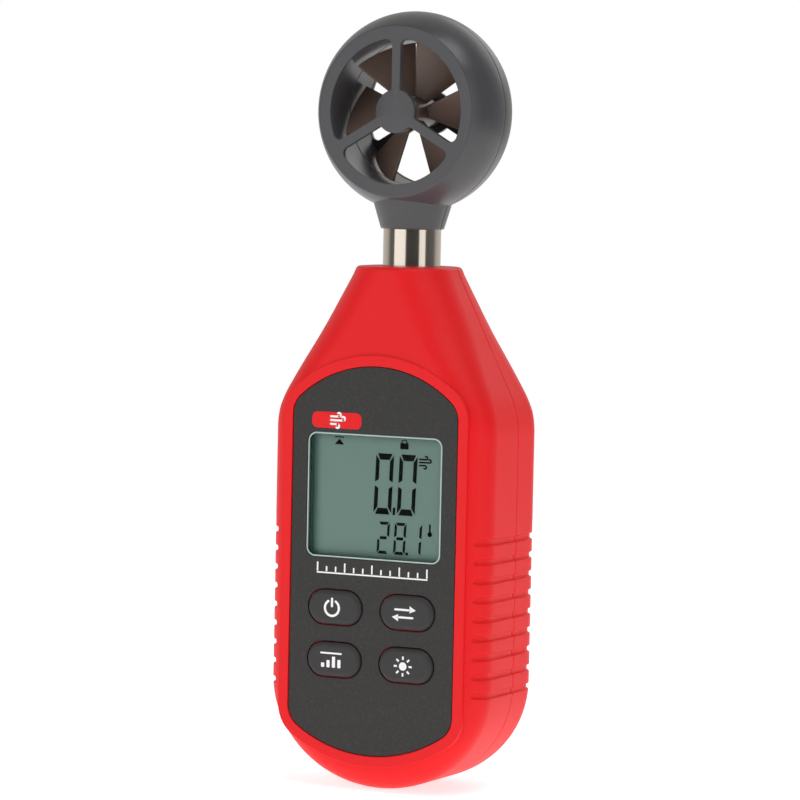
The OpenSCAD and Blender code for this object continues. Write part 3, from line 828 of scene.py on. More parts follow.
class FrontCase(bpy.types.Operator):
    """Models the front half of the case, with its rim, pocket, openings and pillars"""
    bl_idname = "meter.front_case"
    bl_label = "Front case"

    def execute(self, context):
        shell = half_case(-1)
        rim = plate(panel_outline(case_size("rim")),
                    [(RIM_Y, 0.26), (RIM_Y + 0.02, 0.12), (RIM_Y + 0.07, 0.04), (RIM_Y + 0.16, 0),
                     (FRONT_Y + 1.2, 0)])
        inner_y = FRONT_Y + case_size("wall")
        pillars = [post(x, h, 2.6, FRONT_Y + 3, PART_Y - 0.05) for x, h in CASE_SCREWS]
        board_y = low("main_board").y
        stands = [post(x, h, 2, inner_y - 0.2, board_y) for x, h in BOARD_SCREWS]
        add_on(shell, rim, neck_bridge(-7.5, PART_Y - 0.05), *pillars, *stands)
        pocket_y = high("face_panel").y
        carve(shell, plate(panel_outline(0.15), widened(RIM_Y, pocket_y, 0.18)))
        window = middle("display_window")
        size = high("display_window") - low("display_window")
        openings = [plate(round_rect(window.x, window.z, size.x + 0.2, size.z + 0.2, 0.4),
                          [(pocket_y - 1, 0), (inner_y + 1, 0)])]
        for node in KEY_NODES:
            key = middle(node)
            openings.append(plate(stadium(key.x, key.z, KEY_W + 0.44, KEY_H + 0.44),
                                  [(pocket_y - 1, 0), (inner_y + 1, 0)]))
        bores = [post(x, h, 1.15, inner_y + 1, PART_Y + 1, 24) for x, h in CASE_SCREWS]
        bores += [post(x, h, 0.75, inner_y + 0.6, board_y + 1, 24) for x, h in BOARD_SCREWS]
        carve(shell, neck_cutter(), *openings, *bores)
        dress(shell, "front_case", "case_red", "meter", "front_shell")
        return {"FINISHED"}


BAY_X, BAY_Y, BAY_H = 16.3, -0.8, (16.6, 66.6)
DOOR_SCREW_H = 68.6


class RearCase(bpy.types.Operator):
    """Models the rear half of the case, with the battery bay, door step and screw wells"""
    bl_idname = "meter.rear_case"
    bl_label = "Rear case"

    def execute(self, context):
        shell = half_case(1)
        inner_y = BACK_Y - case_size("wall")
        bay = block((-BAY_X - 1.2, BAY_X + 1.2), (low("rear_shell").y, inner_y + 0.5),
                    (BAY_H[0] - 1.2, BAY_H[1] + 1.2))
        pillars = [post(x, h, 2.9, PART_Y + 0.05, inner_y + 0.4) for x, h in CASE_SCREWS]
        add_on(shell, bay, neck_bridge(PART_Y + 0.05, 5.5), *pillars)
        add_on(shell, post(0, DOOR_SCREW_H, 2.6, 3, inner_y + 0.3))
        carve(shell, block((-BAY_X, BAY_X), (BAY_Y, BACK_Y + 1), BAY_H, 0.3))
        door_low, door_high = low("battery_door"), high("battery_door")
        width, height = door_high.x - door_low.x + 0.3, door_high.z - door_low.z + 0.3
        step = plate(round_rect(0, (door_low.z + door_high.z) / 2, width, height, 1.15),
                     widened(BACK_Y, inner_y + 0.4, 0.2))
        wells = [plate(circle(x, h, 2.6), widened(BACK_Y, BACK_Y - 4, 0.25)) for x, h in CASE_SCREWS]
        carve(shell, step)
        carve(shell, neck_cutter(), *wells)
        bores = [post(x, h, 1.5, PART_Y - 1, BACK_Y - 3, 24) for x, h in CASE_SCREWS]
        carve(shell, post(0, DOOR_SCREW_H, 1, 3.5, BACK_Y, 24), *bores)
        dress(shell, "rear_case", "case_red", "meter", "rear_shell")
        return {"FINISHED"}


class BatteryCover(bpy.types.Operator):
    """Models the battery cover with its thumb ribs and screw well"""
    bl_idname = "meter.battery_cover"
    bl_label = "Battery cover"

    def execute(self, context):
        door_low, door_high = low("battery_door"), high("battery_door")
        inner_y = BACK_Y - case_size("wall") + 0.5
        outline = round_rect(0, (door_low.z + door_high.z) / 2, door_high.x - door_low.x,
                             door_high.z - door_low.z, 1)
        cover = plate(outline, [(inner_y, 0.1), (inner_y + 0.1, 0), (BACK_Y - 0.2, 0),
                                (BACK_Y - 0.06, 0.06), (BACK_Y, 0.2)])
        rails = [block((s * 14.6 - 0.6, s * 14.6 + 0.6), (door_low.y, inner_y + 0.1),
                       (BAY_H[0] + 6, BAY_H[1] - 6), 0.15) for s in (-1, 1)]
        add_on(cover, *rails)
        ribs = [plate(stadium(0, door_low.z + 6 + 1.8 * k, 17, 0.9, 8),
                      [(BACK_Y - 0.42, 0.3), (BACK_Y - 0.3, 0.12), (BACK_Y, -0.06),
                       (BACK_Y + 0.5, -0.2)]) for k in range(5)]
        well = plate(circle(0, DOOR_SCREW_H, 2.4), widened(BACK_Y, BACK_Y - 0.9, 0.15, 0.3))
        carve(cover, well, *ribs)
        carve(cover, post(0, DOOR_SCREW_H, 1, BACK_Y - 3, BACK_Y + 1, 24))
        dress(cover, "battery_cover", "case_red", "door", "battery_door")
        return {"FINISHED"}


def screw(x, h, tip_y, top_y, radius, head_r, head_t):
    """A cross-head screw along Y with a rounded head and a pointed tip."""
    under = top_y - head_t
    pitch, thread = 0.6, []
    turns = int((under - tip_y - 1.2) / pitch)
    for k in range(turns):
        y = tip_y + 1 + k * pitch
        thread += [(radius * 0.78, y), (radius, y + 0.5 * pitch)]
    body = turned([(0, tip_y), (radius * 0.5, tip_y + 0.5), *thread, (radius * 0.8, under),
                   (head_r, under), (head_r, under + 0.35 * head_t), (head_r * 0.93, top_y - 0.14),
                   (head_r * 0.72, top_y), (0, top_y)], x=x, h=h, steps=40)
    arm, half = head_r * 0.62, 0.26
    for limits in (((x - arm, x + arm), (h - half, h + half)), ((x - half, x + half), (h - arm, h + arm))):
        carve(body, block(limits[0], (top_y - 0.55 * head_t, top_y + 1), limits[1]))
    return body


class Screws(bpy.types.Operator):
    """Models the case screws and the cover screw"""
    bl_idname = "meter.screws"
    bl_label = "Screws"

    def execute(self, context):
        tip, top = low("case_screws").y, high("case_screws").y
        first_x, first_h = CASE_SCREWS[0]
        first = screw(first_x, first_h, tip, top, 1.1, 2.3, 1.4)
        for number, (x, h) in enumerate(CASE_SCREWS[1:], 2):
            dress(copy_of(first, (x - first_x, 0, h - first_h)), f"case_screw_{number}",
                  "screw_steel", "meter", "case_screws")
        dress(first, "case_screw_1", "screw_steel", "meter", "case_screws")
        cover = screw(0, DOOR_SCREW_H, low("door_screw").y, high("door_screw").y, 0.85, 2.2, 0.75)
        dress(cover, "cover_screw", "screw_steel", "door", "door_screw")
        return {"FINISHED"}


# ---------------------------------------------------------------- front panel and print
KEY_W, KEY_H = 12.2, 7.0
INK = 0.03
TAG_SPOT = (-8.8, 75.9)
TICKS, TICK_PITCH, TICK_FOOT = 13, 2.1, 44.7


def inked(outline, y, thickness=INK):
    """A thin printed shape that stands a hair proud of the face at y."""
    return plate(outline, [(y - thickness, 0), (y + 0.1, 0)])


def ring_sector(x, h, radius, width, start, end, steps=24):
    """Outline of a bent bar with round ends, in degrees."""
    half = width / 2
    ends = [(x + radius * cos(radians(a)), h + radius * sin(radians(a))) for a in (start, end)]
    return (arc(x, h, radius + half, start, end, steps)
            + arc(*ends[1], half, end, end + 180, 6)
            + arc(x, h, radius - half, end, start, steps, hollow=True)
            + arc(*ends[0], half, start + 180, start + 360, 6))


def upright(x, h, width, height):
    """Outline of an upright bar with half-round ends."""
    reach = (height - width) / 2
    return arc(x, h + reach, width / 2, 0, 180, 8) + arc(x, h - reach, width / 2, 180, 360, 8)


def polygon(*corners):
    """Outline with straight sides; its normals point away from its middle."""
    mid_x = sum(c[0] for c in corners) / len(corners)
    mid_h = sum(c[1] for c in corners) / len(corners)
    outline = []
    for x, h in corners:
        size = hypot(x - mid_x, h - mid_h)
        outline.append((x, h, (x - mid_x) / size, (h - mid_h) / size))
    return outline


def wind_lines(x, h, size):
    """Three blown lines with curled ends, as outlines."""
    shapes = []
    width = 0.16 * size
    for drop, reach, curl in ((0.3, 0.62, 1), (0, 1.0, 1), (-0.3, 0.5, -1)):
        end_x, line_h = x + (reach - 0.5) * size, h + drop * size
        bend = 0.15 * size
        shapes.append(stadium((x - 0.6 * size + end_x) / 2, line_h, end_x - x + 0.6 * size + width,
                              width, 8))
        centre_h = line_h + curl * bend
        span = (-90, 130) if curl > 0 else (90, -130)
        start, end = min(span), max(span)
        shapes.append(ring_sector(end_x, centre_h, bend, width, start, end, 14))
    return shapes


class FrontPanel(bpy.types.Operator):
    """Models the dark front panel and the print on it"""
    bl_idname = "meter.front_panel"
    bl_label = "Front panel"

    def execute(self, context):
        back_y = high("face_panel").y
        panel = plate(panel_outline(), [(FRONT_Y, 0.16), (FRONT_Y + 0.03, 0.05), (FRONT_Y + 0.1, 0),
                                        (back_y, 0)])
        window = middle("display_window")
        size = high("display_window") - low("display_window")
        cutters = [plate(round_rect(window.x, window.z, size.x - 0.02, size.z + 0.08, 2, 12),
                         widened(FRONT_Y, back_y + 0.5, 0.06, 0.3))]
        for node in KEY_NODES:
            key = middle(node)
            cutters.append(plate(stadium(key.x, key.z, KEY_W + 0.6, KEY_H + 0.6),
                                 widened(FRONT_Y, back_y + 0.5, 0.08, 0.3)))
        carve(panel, *cutters)
        dress(panel, "front_panel", "panel_dark", "meter", "face_panel")
        tag = inked(round_rect(*TAG_SPOT, 11.4, 3.3, 1.2), FRONT_Y)
        dress(tag, "panel_tag", "case_red", "meter")
        face_y = FRONT_Y - INK
        lines = wind_lines(TAG_SPOT[0] + 0.2, TAG_SPOT[1], 2.6)
        blown = [inked(shape, face_y, 0.02) for shape in lines]
        dress(joined(blown), "tag_wind_lines", "print_white", "meter", slot="inner_white")
        ticks = []
        for k in range(TICKS):
            tall = 1.9 if k % 3 == 0 else 1.1
            tick_x = (k - (TICKS - 1) / 2) * TICK_PITCH
            ticks.append(inked(round_rect(tick_x, TICK_FOOT + tall / 2, 0.34, tall, 0.1, 2), FRONT_Y))
        ticks.append(inked(round_rect(0, TICK_FOOT - 0.25, 25.54, 0.3, 0.1, 2), FRONT_Y))
        dress(joined(ticks), "panel_scale", "print_white", "meter", slot="inner_white")
        return {"FINISHED"}


# ---------------------------------------------------------------- display
SEGMENTS = {"0": "abcdef", "1": "bc", "2": "abged", "8": "abcdefg"}
WIND_FIGURE = {"h": 57, "width": 4.1, "height": 12.5, "upright_t": 0.86, "level_t": 1.3,
               "lean": 0.036}
WARMTH_FIGURE = {"h": 48.9, "width": 2.7, "height": 6.6, "upright_t": 0.55, "level_t": 0.62,
                 "lean": 0.05}


def digit(figure, x, h, width, height, upright_t, level_t, lean):
    """Outlines of the segments of one figure; x and h are the middle of its foot."""
    gap = 0.09 * width
    half_w, half_h = width / 2, height / 2

    def leant(*corners):
        return polygon(*[(x + cx + lean * ch, h + ch) for cx, ch in corners])

    def level(ch, way):
        inner = half_w - upright_t - gap * 0.2
        outer = half_w - gap
        if way == 0:
            half = level_t / 2
            return leant((-inner, ch - half), (inner, ch - half), (outer - half, ch),
                         (inner, ch + half), (-inner, ch + half), (half - outer, ch))
        return leant(*[(cx, ch + cy * way) for cx, cy in
                       ((-outer, 0), (outer, 0), (inner, -level_t), (-inner, -level_t))][::way])

    def pillar(side, low_h, high_h, from_foot):
        outer, inner = side * half_w, side * (half_w - upright_t)
        slope = level_t * 0.9
        if from_foot:
            corners = [(outer, low_h + 0.25 * slope), (outer, high_h - gap),
                       (inner, high_h - gap - 0.6 * upright_t), (inner, low_h + slope + gap)]
        else:
            corners = [(outer, low_h + gap), (outer, high_h - 0.25 * slope),
                       (inner, high_h - slope - gap), (inner, low_h + gap + 0.6 * upright_t)]
        return leant(*(corners if side > 0 else corners[::-1]))

    shapes = {
        "a": level(height, 1), "d": level(0, -1), "g": level(half_h, 0),
        "b": pillar(1, half_h, height, False), "c": pillar(1, 0, half_h, True),
        "f": pillar(-1, half_h, height, False), "e": pillar(-1, 0, half_h, True),
    }
    return [shapes[part] for part in SEGMENTS[figure]]


class Display(bpy.types.Operator):
    """Models the display cell, its figures and signs, and the clear window over it"""
    bl_idname = "meter.display"
    bl_label = "Display"

    def execute(self, context):
        cell_low, cell_high = low("display_glass"), high("display_glass")
        front_y = cell_low.y
        cell_mid = middle("display_glass")
        wide = cell_high.x - cell_low.x
        front = plate(round_rect(0, cell_mid.z, wide, cell_high.z - cell_low.z, 0.3, 3),
                      [(front_y, 0.08), (front_y + 0.08, 0), (front_y + 1.1, 0)])
        back = plate(round_rect(0, cell_mid.z, wide, 26.6, 0.3, 3),
                     [(front_y + 1.06, 0), (cell_high.y - 0.08, 0), (cell_high.y, 0.08)])
        add_on(front, back)
        dress(front, "display_cell", "display_glass", "meter", "display_glass")

        figures = digit("0", 0.9, **WIND_FIGURE) + digit("0", 6.3, **WIND_FIGURE)
        for figure, x in (("2", 1.1), ("8", 4.9), ("1", 8.5)):
            figures += digit(figure, x, **WARMTH_FIGURE)
        figures += [polygon((3.28, 57), (3.86, 57), (3.92, 58.5), (3.34, 58.5)),
                    polygon((6.42, 48.9), (7.0, 48.9), (7.03, 49.5), (6.45, 49.5))]
        signs = [*wind_lines(10.5, 68.1, 2.1),
                 circle(11.9, 53.5, 0.52, 20), upright(11.9, 54.5, 0.42, 2.2),
                 polygon((-10.4, 70.8), (-8.2, 70.8), (-9.3, 72.0)),
                 round_rect(-9.3, 72.35, 2.2, 0.24, 0.1, 2),
                 round_rect(5.7, 71.2, 1.9, 1.25, 0.15, 3),
                 ring_sector(5.7, 71.9, 0.58, 0.24, -10, 190, 14)]
        marks = [inked(shape, front_y, 0.02) for shape in figures + signs]
        dress(joined(marks), "display_figures", "display_ink", "meter", slot="display_glass")

        window = middle("display_window")
        face_y = low("display_window").y
        size = high("display_window") - low("display_window")
        lip = 0.32
        pane = plate(round_rect(window.x, window.z, size.x - 0.1 - 2 * lip, size.z - 0.1 - 2 * lip,
                                1.95 - lip, 10),
                     [(face_y + 0.02, 0.06), (face_y + 0.08, 0), (high("display_window").y, 0)])
        dress(pane, "window_pane", "clear_window", "meter", "display_window")
        # The pale ring round the window is a painted highlight: it stands in for the light line along the
        # window's bevel.
        frame_ring = plate(round_rect(window.x, window.z, size.x - 0.1, size.z - 0.1, 1.95, 10),
                           [(face_y, 0.14), (face_y + 0.04, 0.04), (face_y + 0.14, 0), (face_y + 0.45, 0)])
        hole = plate(round_rect(window.x, window.z, size.x - 0.1 - 2 * lip, size.z - 0.1 - 2 * lip,
                                1.95 - lip, 10), [(face_y - 1, 0), (face_y + 1, 0)])
        carve(frame_ring, hole)
        dress(frame_ring, "window_highlight_ring", "window_lip_highlight", "meter", slot="clear_window")
        skirt = plate(round_rect(window.x, window.z, size.x + 0.16, size.z + 0.16, 0.5, 6),
                      [(high("face_panel").y + 0.02, 0.05), (high("face_panel").y + 0.07, 0),
                       (low("display_frame").y - 0.04, 0)])
        hole = plate(round_rect(window.x, window.z, size.x - 0.66, size.z - 0.66, 1.6, 8),
                     [(face_y - 1, 0), (front_y + 1, 0)])
        carve(skirt, hole)
        dress(skirt, "window_skirt", "window_wall", "meter", slot="clear_window")
        return {"FINISHED"}


# ---------------------------------------------------------------- keys
def power_sign(x, h):
    """A broken ring with a bar in its gap."""
    return [ring_sector(x, h, 1.62, 0.5, 122, 418, 40), upright(x, h + 1.15, 0.5, 2.0)]


def swap_sign(x, h):
    """Two arrows that point away from each other, for changing the unit."""
    shapes = []
    for side in (-1, 1):
        line_h = h + 0.78 * side
        shapes.append(stadium(x - 0.35 * side, line_h, 3.7, 0.42, 8))
        shapes.append(polygon((x + side * 2.7, line_h), (x + side * 1.3, line_h + 0.86 * side),
                              (x + side * 1.3, line_h - 0.62 * side)))
    return shapes


def peak_sign(x, h):
    """Rising bars under a line, for the highest and the mean reading."""
    bars = [round_rect(x - 1.9 + 1.26 * k, h - 1.5 + tall / 2, 0.72, tall, 0.12, 3)
            for k, tall in enumerate((0.9, 1.5, 2.3, 1.7))]
    return bars + [round_rect(x, h + 1.45, 5.0, 0.36, 0.16, 3)]


def lamp_sign(x, h):
    """A small sun, for holding the reading and lighting the display."""
    rays = []
    for k in range(8):
        angle = radians(45 * k)
        along, across = (cos(angle), sin(angle)), (-sin(angle) * 0.2, cos(angle) * 0.2)
        near, far = 1.35, 2.05
        rays.append(polygon(*[(x + along[0] * r + across[0] * s, h + along[1] * r + across[1] * s)
                              for r, s in ((near, -1), (far, -1), (far, 1), (near, 1))]))
    return [circle(x, h, 0.86, 28), *rays]


KEY_SIGNS = {"power_key": power_sign, "unit_key": swap_sign, "mode_key": peak_sign,
             "hold_key": lamp_sign}


class Keys(bpy.types.Operator):
    """Models the four rubber keys and the signs printed on them"""
    bl_idname = "meter.keys"
    bl_label = "Keys"

    def execute(self, context):
        top_y = low(KEY_NODES[0]).y + INK
        inner_y = FRONT_Y + case_size("wall")
        first = middle(KEY_NODES[0])
        cap = plate(stadium(first.x, first.z, KEY_W, KEY_H, 24),
                    [(top_y, 0.95), (top_y + 0.04, 0.74), (top_y + 0.14, 0.52), (top_y + 0.3, 0.3),
                     (top_y + 0.48, 0.12), (top_y + 0.7, 0.03), (top_y + 1.1, 0), (inner_y + 0.34, 0)])
        flange = plate(stadium(first.x, first.z, KEY_W + 1.8, KEY_H + 1.8, 24),
                       [(inner_y + 0.3, 0.1), (inner_y + 0.4, 0), (inner_y + 1.1, 0), (inner_y + 1.2, 0.1)])
        plunger = plate(stadium(first.x, first.z, KEY_W - 4, KEY_H - 3, 24),
                        [(inner_y + 1.0, 0), (high(KEY_NODES[0]).y - 0.1, 0), (high(KEY_NODES[0]).y, 0.1)])
        add_on(cap, flange)
        add_on(cap, plunger)
        for node, body in zip(KEY_NODES, ("power_button", "unit_button", "mode_button", "hold_button")):
            place = middle(node)
            shift = (place.x - first.x, 0, place.z - first.z)
            dress(copy_of(cap, shift), f"{node}_cap", "key_rubber", body, node, sharp=40)
            signs = [inked(shape, top_y) for shape in KEY_SIGNS[node](place.x - 0.4, place.z - 0.1)]
            dress(joined(signs), f"{node}_sign", "print_white", body, slot="inner_white")
        bpy.data.objects.remove(cap)
        return {"FINISHED"}


# ---------------------------------------------------------------- neck and head
CROWN_R = 14.3
RING_R = 20.7
DUCT_R = 15.0
HEAD_D = -low("head_front").y
HEAD_WALL = 1.6
DUCT_WALL = 1.3
BOSS_R, BEARING_R = 2.8, 1.9
# directions of the guard's three arms, in degrees from +X towards +Z
ARM_TURNS = (90, 210, 330)
# foot of the flared neck, its half width there, and its growth for each mm upwards
FLARE_FOOT, FLARE_W, FLARE_GROWTH = 115.2, 6.45, 0.3


class NeckTube(bpy.types.Operator):
    """Models the plated neck tube with its flange"""
    bl_idname = "meter.neck_tube"
    bl_label = "Neck tube"

    def execute(self, context):
        foot, top = low("neck_tube").z, high("neck_tube").z
        flange_r, tube_r, bore_r = high("neck_tube").x, 5.98, 4.9
        tube = turned([(bore_r, foot), (flange_r - 0.15, foot), (flange_r, foot + 0.15),
                       (flange_r, foot + 1.85), (flange_r - 0.15, foot + 2), (tube_r + 0.1, foot + 2),
                       (tube_r, foot + 2.1), (tube_r, 104), (tube_r, 110), (tube_r, top - 0.2),
                       (tube_r - 0.2, top), (bore_r + 0.1, top), (bore_r, top - 0.1)],
                      axis="Z", steps=128)
        dress(tube, "neck_tube_plated", "neck_nickel", "meter", "neck_tube")
        return {"FINISHED"}


def crown_arc(radius, start_depth, end_depth, steps):
    """Points of the head's crown as (radius, depth), on an arc drawn in to a radius."""
    centre = RING_R - CROWN_R
    turns = spread(asin(start_depth / radius), asin(end_depth / radius), steps)
    return [(centre + radius * cos(t), radius * sin(t)) for t in turns]


def head_profile(side):
    """Half section of one half of the head: face, crown, seam, hollow, duct, guard and boss."""
    guard = HEAD_D - head_size("guard")
    inner_d = HEAD_D - HEAD_WALL
    crown = crown_arc(CROWN_R, HEAD_D - 0.16, 0.32, 26)
    hollow = crown_arc(CROWN_R - HEAD_WALL, SEAM_GAP, inner_d, 8)
    edge_r = crown[0][0]
    section = [(0, HEAD_D), (edge_r - 0.4, HEAD_D), (edge_r - 0.2, HEAD_D - 0.02),
               (edge_r - 0.07, HEAD_D - 0.08), *crown,
               (RING_R - 0.03, 0.16), (RING_R - 0.12, 0.06), (RING_R - 0.28, SEAM_GAP), *hollow,
               (DUCT_R + DUCT_WALL, inner_d), (DUCT_R + DUCT_WALL, SEAM_GAP), (DUCT_R + 0.16, SEAM_GAP),
               (DUCT_R, SEAM_GAP + 0.16), (DUCT_R, 0.5 * guard), (DUCT_R, guard),
               (BOSS_R + 0.3, guard), (BOSS_R, guard - 0.3), (BOSS_R, 5.45), (BOSS_R - 0.15, 5.3),
               (BEARING_R, 5.3), (BEARING_R, 7.4), (0, 7.4)]
    return [(radius, side * depth) for radius, depth in section]


def neck_flare(side):
    """Half of the flared neck under the ring: a cone that is a little flatter from front to back."""
    foot, top = FLARE_FOOT, 124.0
    heights = [foot, foot + 0.06, foot + 0.2, *spread(foot + 0.6, top, 9)]
    rows = []
    for h in heights:
        wide = FLARE_W + FLARE_GROWTH * (h - foot) - max(0.2 - (h - foot), 0) ** 2 * 3
        deep = soft_min(wide, 8.7, 1.0)
        ends = [(wide - 0.16, 0), (wide - 0.05, 0.05)]
        half = [(wide * cos(a), 0.16 + (deep - 0.16) * sin(a)) for a in spread(0, pi, 44)]
        rows.append(ends + half + [(-x, y) for x, y in reversed(ends)])
    count = len(rows[0])

    def place(i, j):
        x, y = rows[j][i % count]
        return spot(x, side * (2 * SEAM_GAP + y), heights[j])

    return net(count, len(heights) - 1, place)


def guard_window(turn):
    """Outline of one opening of the guard, from one arm to the next, with filleted corners."""
    opening, ring_fillet, disc_fillet = DUCT_R - 0.1, 1.3, 0.55
    half, disc = head_size("arm") / 2, head_size("disc")
    far, near = opening - ring_fillet, disc + disc_fillet
    far_lean = degrees(asin((half + ring_fillet) / far))
    near_lean = degrees(asin((half + disc_fillet) / near))

    def fillet(reach, lean, radius, start, end):
        angle = radians(turn + lean)
        return arc(reach * cos(angle), VANE_H + reach * sin(angle), radius, turn + start, turn + end, 8)

    return (arc(0, VANE_H, opening, turn + far_lean, turn + 120 - far_lean, 40)
            + fillet(far, 120 - far_lean, ring_fillet, 120 - far_lean, 210)
            + fillet(near, 120 - near_lean, disc_fillet, 210, 300 - near_lean)
            + arc(0, VANE_H, disc, turn + 120 - near_lean, turn + near_lean, 14, hollow=True)
            + fillet(near, near_lean, disc_fillet, 180 + near_lean, 270)
            + fillet(far, far_lean, ring_fillet, 270, 360 + far_lean))


def head_half(side, *cutters):
    """One half of the head: side -1 is the front and 1 the back."""
    half = turned(head_profile(side), x=0, h=VANE_H, steps=144)
    add_on(half, neck_flare(side))
    bore = high("neck_tube").x - 1.6
    carve(half, turned([(0, 114), (bore + 0.3, 114), (bore + 0.3, 115.25), (bore, 115.5), (bore, 119.4),
                        (6.5, 119.6), (7.5, 122.9), (0, 122.9)], axis="Z"))
    guard = HEAD_D - head_size("guard")
    section = [(HEAD_D + 0.4, -0.6), (HEAD_D, -0.17), (HEAD_D - 0.05, -0.06), (HEAD_D - 0.17, 0),
               (guard + 0.12, 0), (guard, -0.1), (guard - 0.3, -0.1)]
    windows = [plate(guard_window(turn), [(side * depth, inset) for depth, inset in section])
               for turn in ARM_TURNS]
    return carve(half, *windows, *cutters)


class VaneHead(bpy.types.Operator):
    """Models the two halves of the vane head, with their guards and bearing bosses"""
    bl_idname = "meter.vane_head"
    bl_label = "Vane head"

    def execute(self, context):
        dress(head_half(-1), "head_front_half", "head_grey", "meter", "head_front", sharp=30)
        seat = middle("rotation_sensor")
        rear = head_half(1, block((-1.7, 1.7), (7.3, 8.3), (seat.z - 1.3, seat.z + 1.3)))
        dress(rear, "head_rear_half", "head_grey", "meter", "head_rear", sharp=30)
        return {"FINISHED"}


def blade(number):
    """One blade: a flat paddle tilted about its middle line, cut round at its tip."""
    root, tip = 2.6, high("vane_wheel").x
    tilt, chord = bpy.context.scene.meter_head.tilt, head_size("chord") / tip
    most = high("vane_wheel").y - 0.25
    bare()
    bpy.ops.mesh.primitive_grid_add(x_subdivisions=12, y_subdivisions=16, size=1)
    sheet = bpy.context.object
    for point in sheet.data.vertices:
        side = 2 * point.co.y * chord
        end = tip / hypot(1, side * cos(tilt))
        reach = root + (end - root) * (point.co.x + 0.5)
        along = min(max(-side * reach * sin(tilt), -most), most)
        point.co = Vector((reach, along, side * reach * cos(tilt))) * MM
    thick = sheet.modifiers.new("Thickness", "SOLIDIFY")
    thick.thickness = head_size("blade") * MM
    thick.offset = 0
    bpy.ops.object.modifier_apply(modifier=thick.name)
    edges = sheet.modifiers.new("Edges", "BEVEL")
    edges.width = 0.14 * MM
    edges.segments = 2
    edges.limit_method = "ANGLE"
    edges.angle_limit = radians(50)
    bpy.ops.object.modifier_apply(modifier=edges.name)
    turn = Matrix.Rotation(-2 * pi * number / bpy.context.scene.meter_head.blades, 4, "Y")
    sheet.data.transform(Matrix.Translation(spot(0, 0, VANE_H)) @ turn)
    return close_up(sheet)


class VaneWheel(bpy.types.Operator):
    """Models the vane wheel: its hub and its tilted blades"""
    bl_idname = "meter.vane_wheel"
    bl_label = "Vane wheel"

    def execute(self, context):
        half = high("vane_wheel").y
        shaft_r = high("vane_shaft").x + 0.01
        hub = turned([(shaft_r, -half), (2.2, -half), (2.5, 0.12 - half), (2.9, 0.16 - half),
                      (3.12, 0.3 - half), (3.2, 0.55 - half), (3.2, half - 0.3), (2.95, half),
                      (2.32, half), (2.32, half - 2), (shaft_r, half - 2)], h=VANE_H, steps=72)
        count = bpy.context.scene.meter_head.blades
        add_on(hub, *[blade(number) for number in range(count)])
        dress(hub, "vane_wheel_moulded", "vane_brown", "vane", "vane_wheel", sharp=40)
        return {"FINISHED"}


# ---------------------------------------------------------------- inside
class BatteryCells(bpy.types.Operator):
    """Models the three cells in the bay, each a metal can in a printed sleeve"""
    bl_idname = "meter.cells"
    bl_label = "Battery cells"

    def execute(self, context):
        for node in CELL_NODES:
            cell_low, cell_high, centre = low(node), high(node), middle(node)
            radius = (cell_high.x - cell_low.x) / 2
            flipped = node == "battery_middle"

            def along(share_h):
                return cell_high.z + cell_low.z - share_h if flipped else share_h

            foot, top = cell_low.z, cell_high.z
            can = [(0, foot), (3.9, foot), (4.0, foot + 0.12), (radius - 0.5, foot + 0.2),
                   (radius - 0.1, foot + 0.6), (radius - 0.1, top - 1.7), (radius - 0.5, top - 1.15),
                   (3.4, top - 1.0), (2.1, top - 0.95), (1.9, top - 0.8), (1.9, top - 0.15),
                   (1.75, top), (0, top)]
            piece = turned([(r, along(h)) for r, h in can], axis="Z", x=centre.x, y=centre.y, steps=64)
            dress(piece, f"{node}_can", "contact_metal", "meter", node)
            wrap = [(radius - 0.1, foot + 0.62), (radius - 0.02, foot + 0.6), (radius, foot + 0.75),
                    (radius, top - 1.75), (radius - 0.06, top - 1.6), (radius - 0.1, top - 1.72)]
            piece = turned([(r, along(h)) for r, h in wrap], axis="Z", x=centre.x, y=centre.y, steps=64)
            dress(piece, f"{node}_sleeve", "cell_sleeve", "meter", slot="cell_sleeve")
        return {"FINISHED"}


class InnerParts(bpy.types.Operator):
    """Gives the inner parts their finishes"""
    bl_idname = "meter.inner_parts"
    bl_label = "Inner parts"

    def execute(self, context):
        for node, name in INNER_FINISHES.items():
            piece = frame["nodes"][node]
            piece.data.materials.clear()
            piece.data.materials.append(FINISHES[name])
        return {"FINISHED"}


# ---------------------------------------------------------------- stage
VIEW_AZIMUTH, VIEW_ELEVATION, VIEW_ROLL = radians(27.11), radians(3.69), radians(1.2)
VIEW_DISTANCE, VIEW_HEIGHT, VIEW_SHIFT = 855.2, 79.78, -1.825
VIEW_LENS = 185.8


def viewing_axes():
    """Right, up and back directions of the camera."""
    a, e, r = VIEW_AZIMUTH, VIEW_ELEVATION, VIEW_ROLL
    back = Vector((sin(a) * cos(e), -cos(a) * cos(e), sin(e)))
    level = Vector((cos(a), sin(a), 0))
    rise = back.cross(level)
    return cos(r) * level + sin(r) * rise, cos(r) * rise - sin(r) * level, back


def add_camera():
    """The camera, at the meter's viewing angle."""
    right, up, back = viewing_axes()
    bare()
    place = spot(0, 0, VIEW_HEIGHT) + (right * VIEW_SHIFT + back * VIEW_DISTANCE) * MM
    bpy.ops.object.camera_add()
    camera = bpy.context.object
    turn = Matrix((right, up, back)).transposed().to_4x4()
    camera.matrix_world = Matrix.Translation(place) @ turn
    camera.data.sensor_width = 36
    camera.data.lens = VIEW_LENS
    camera.data.clip_start = 0.05
    bpy.context.scene.camera = camera


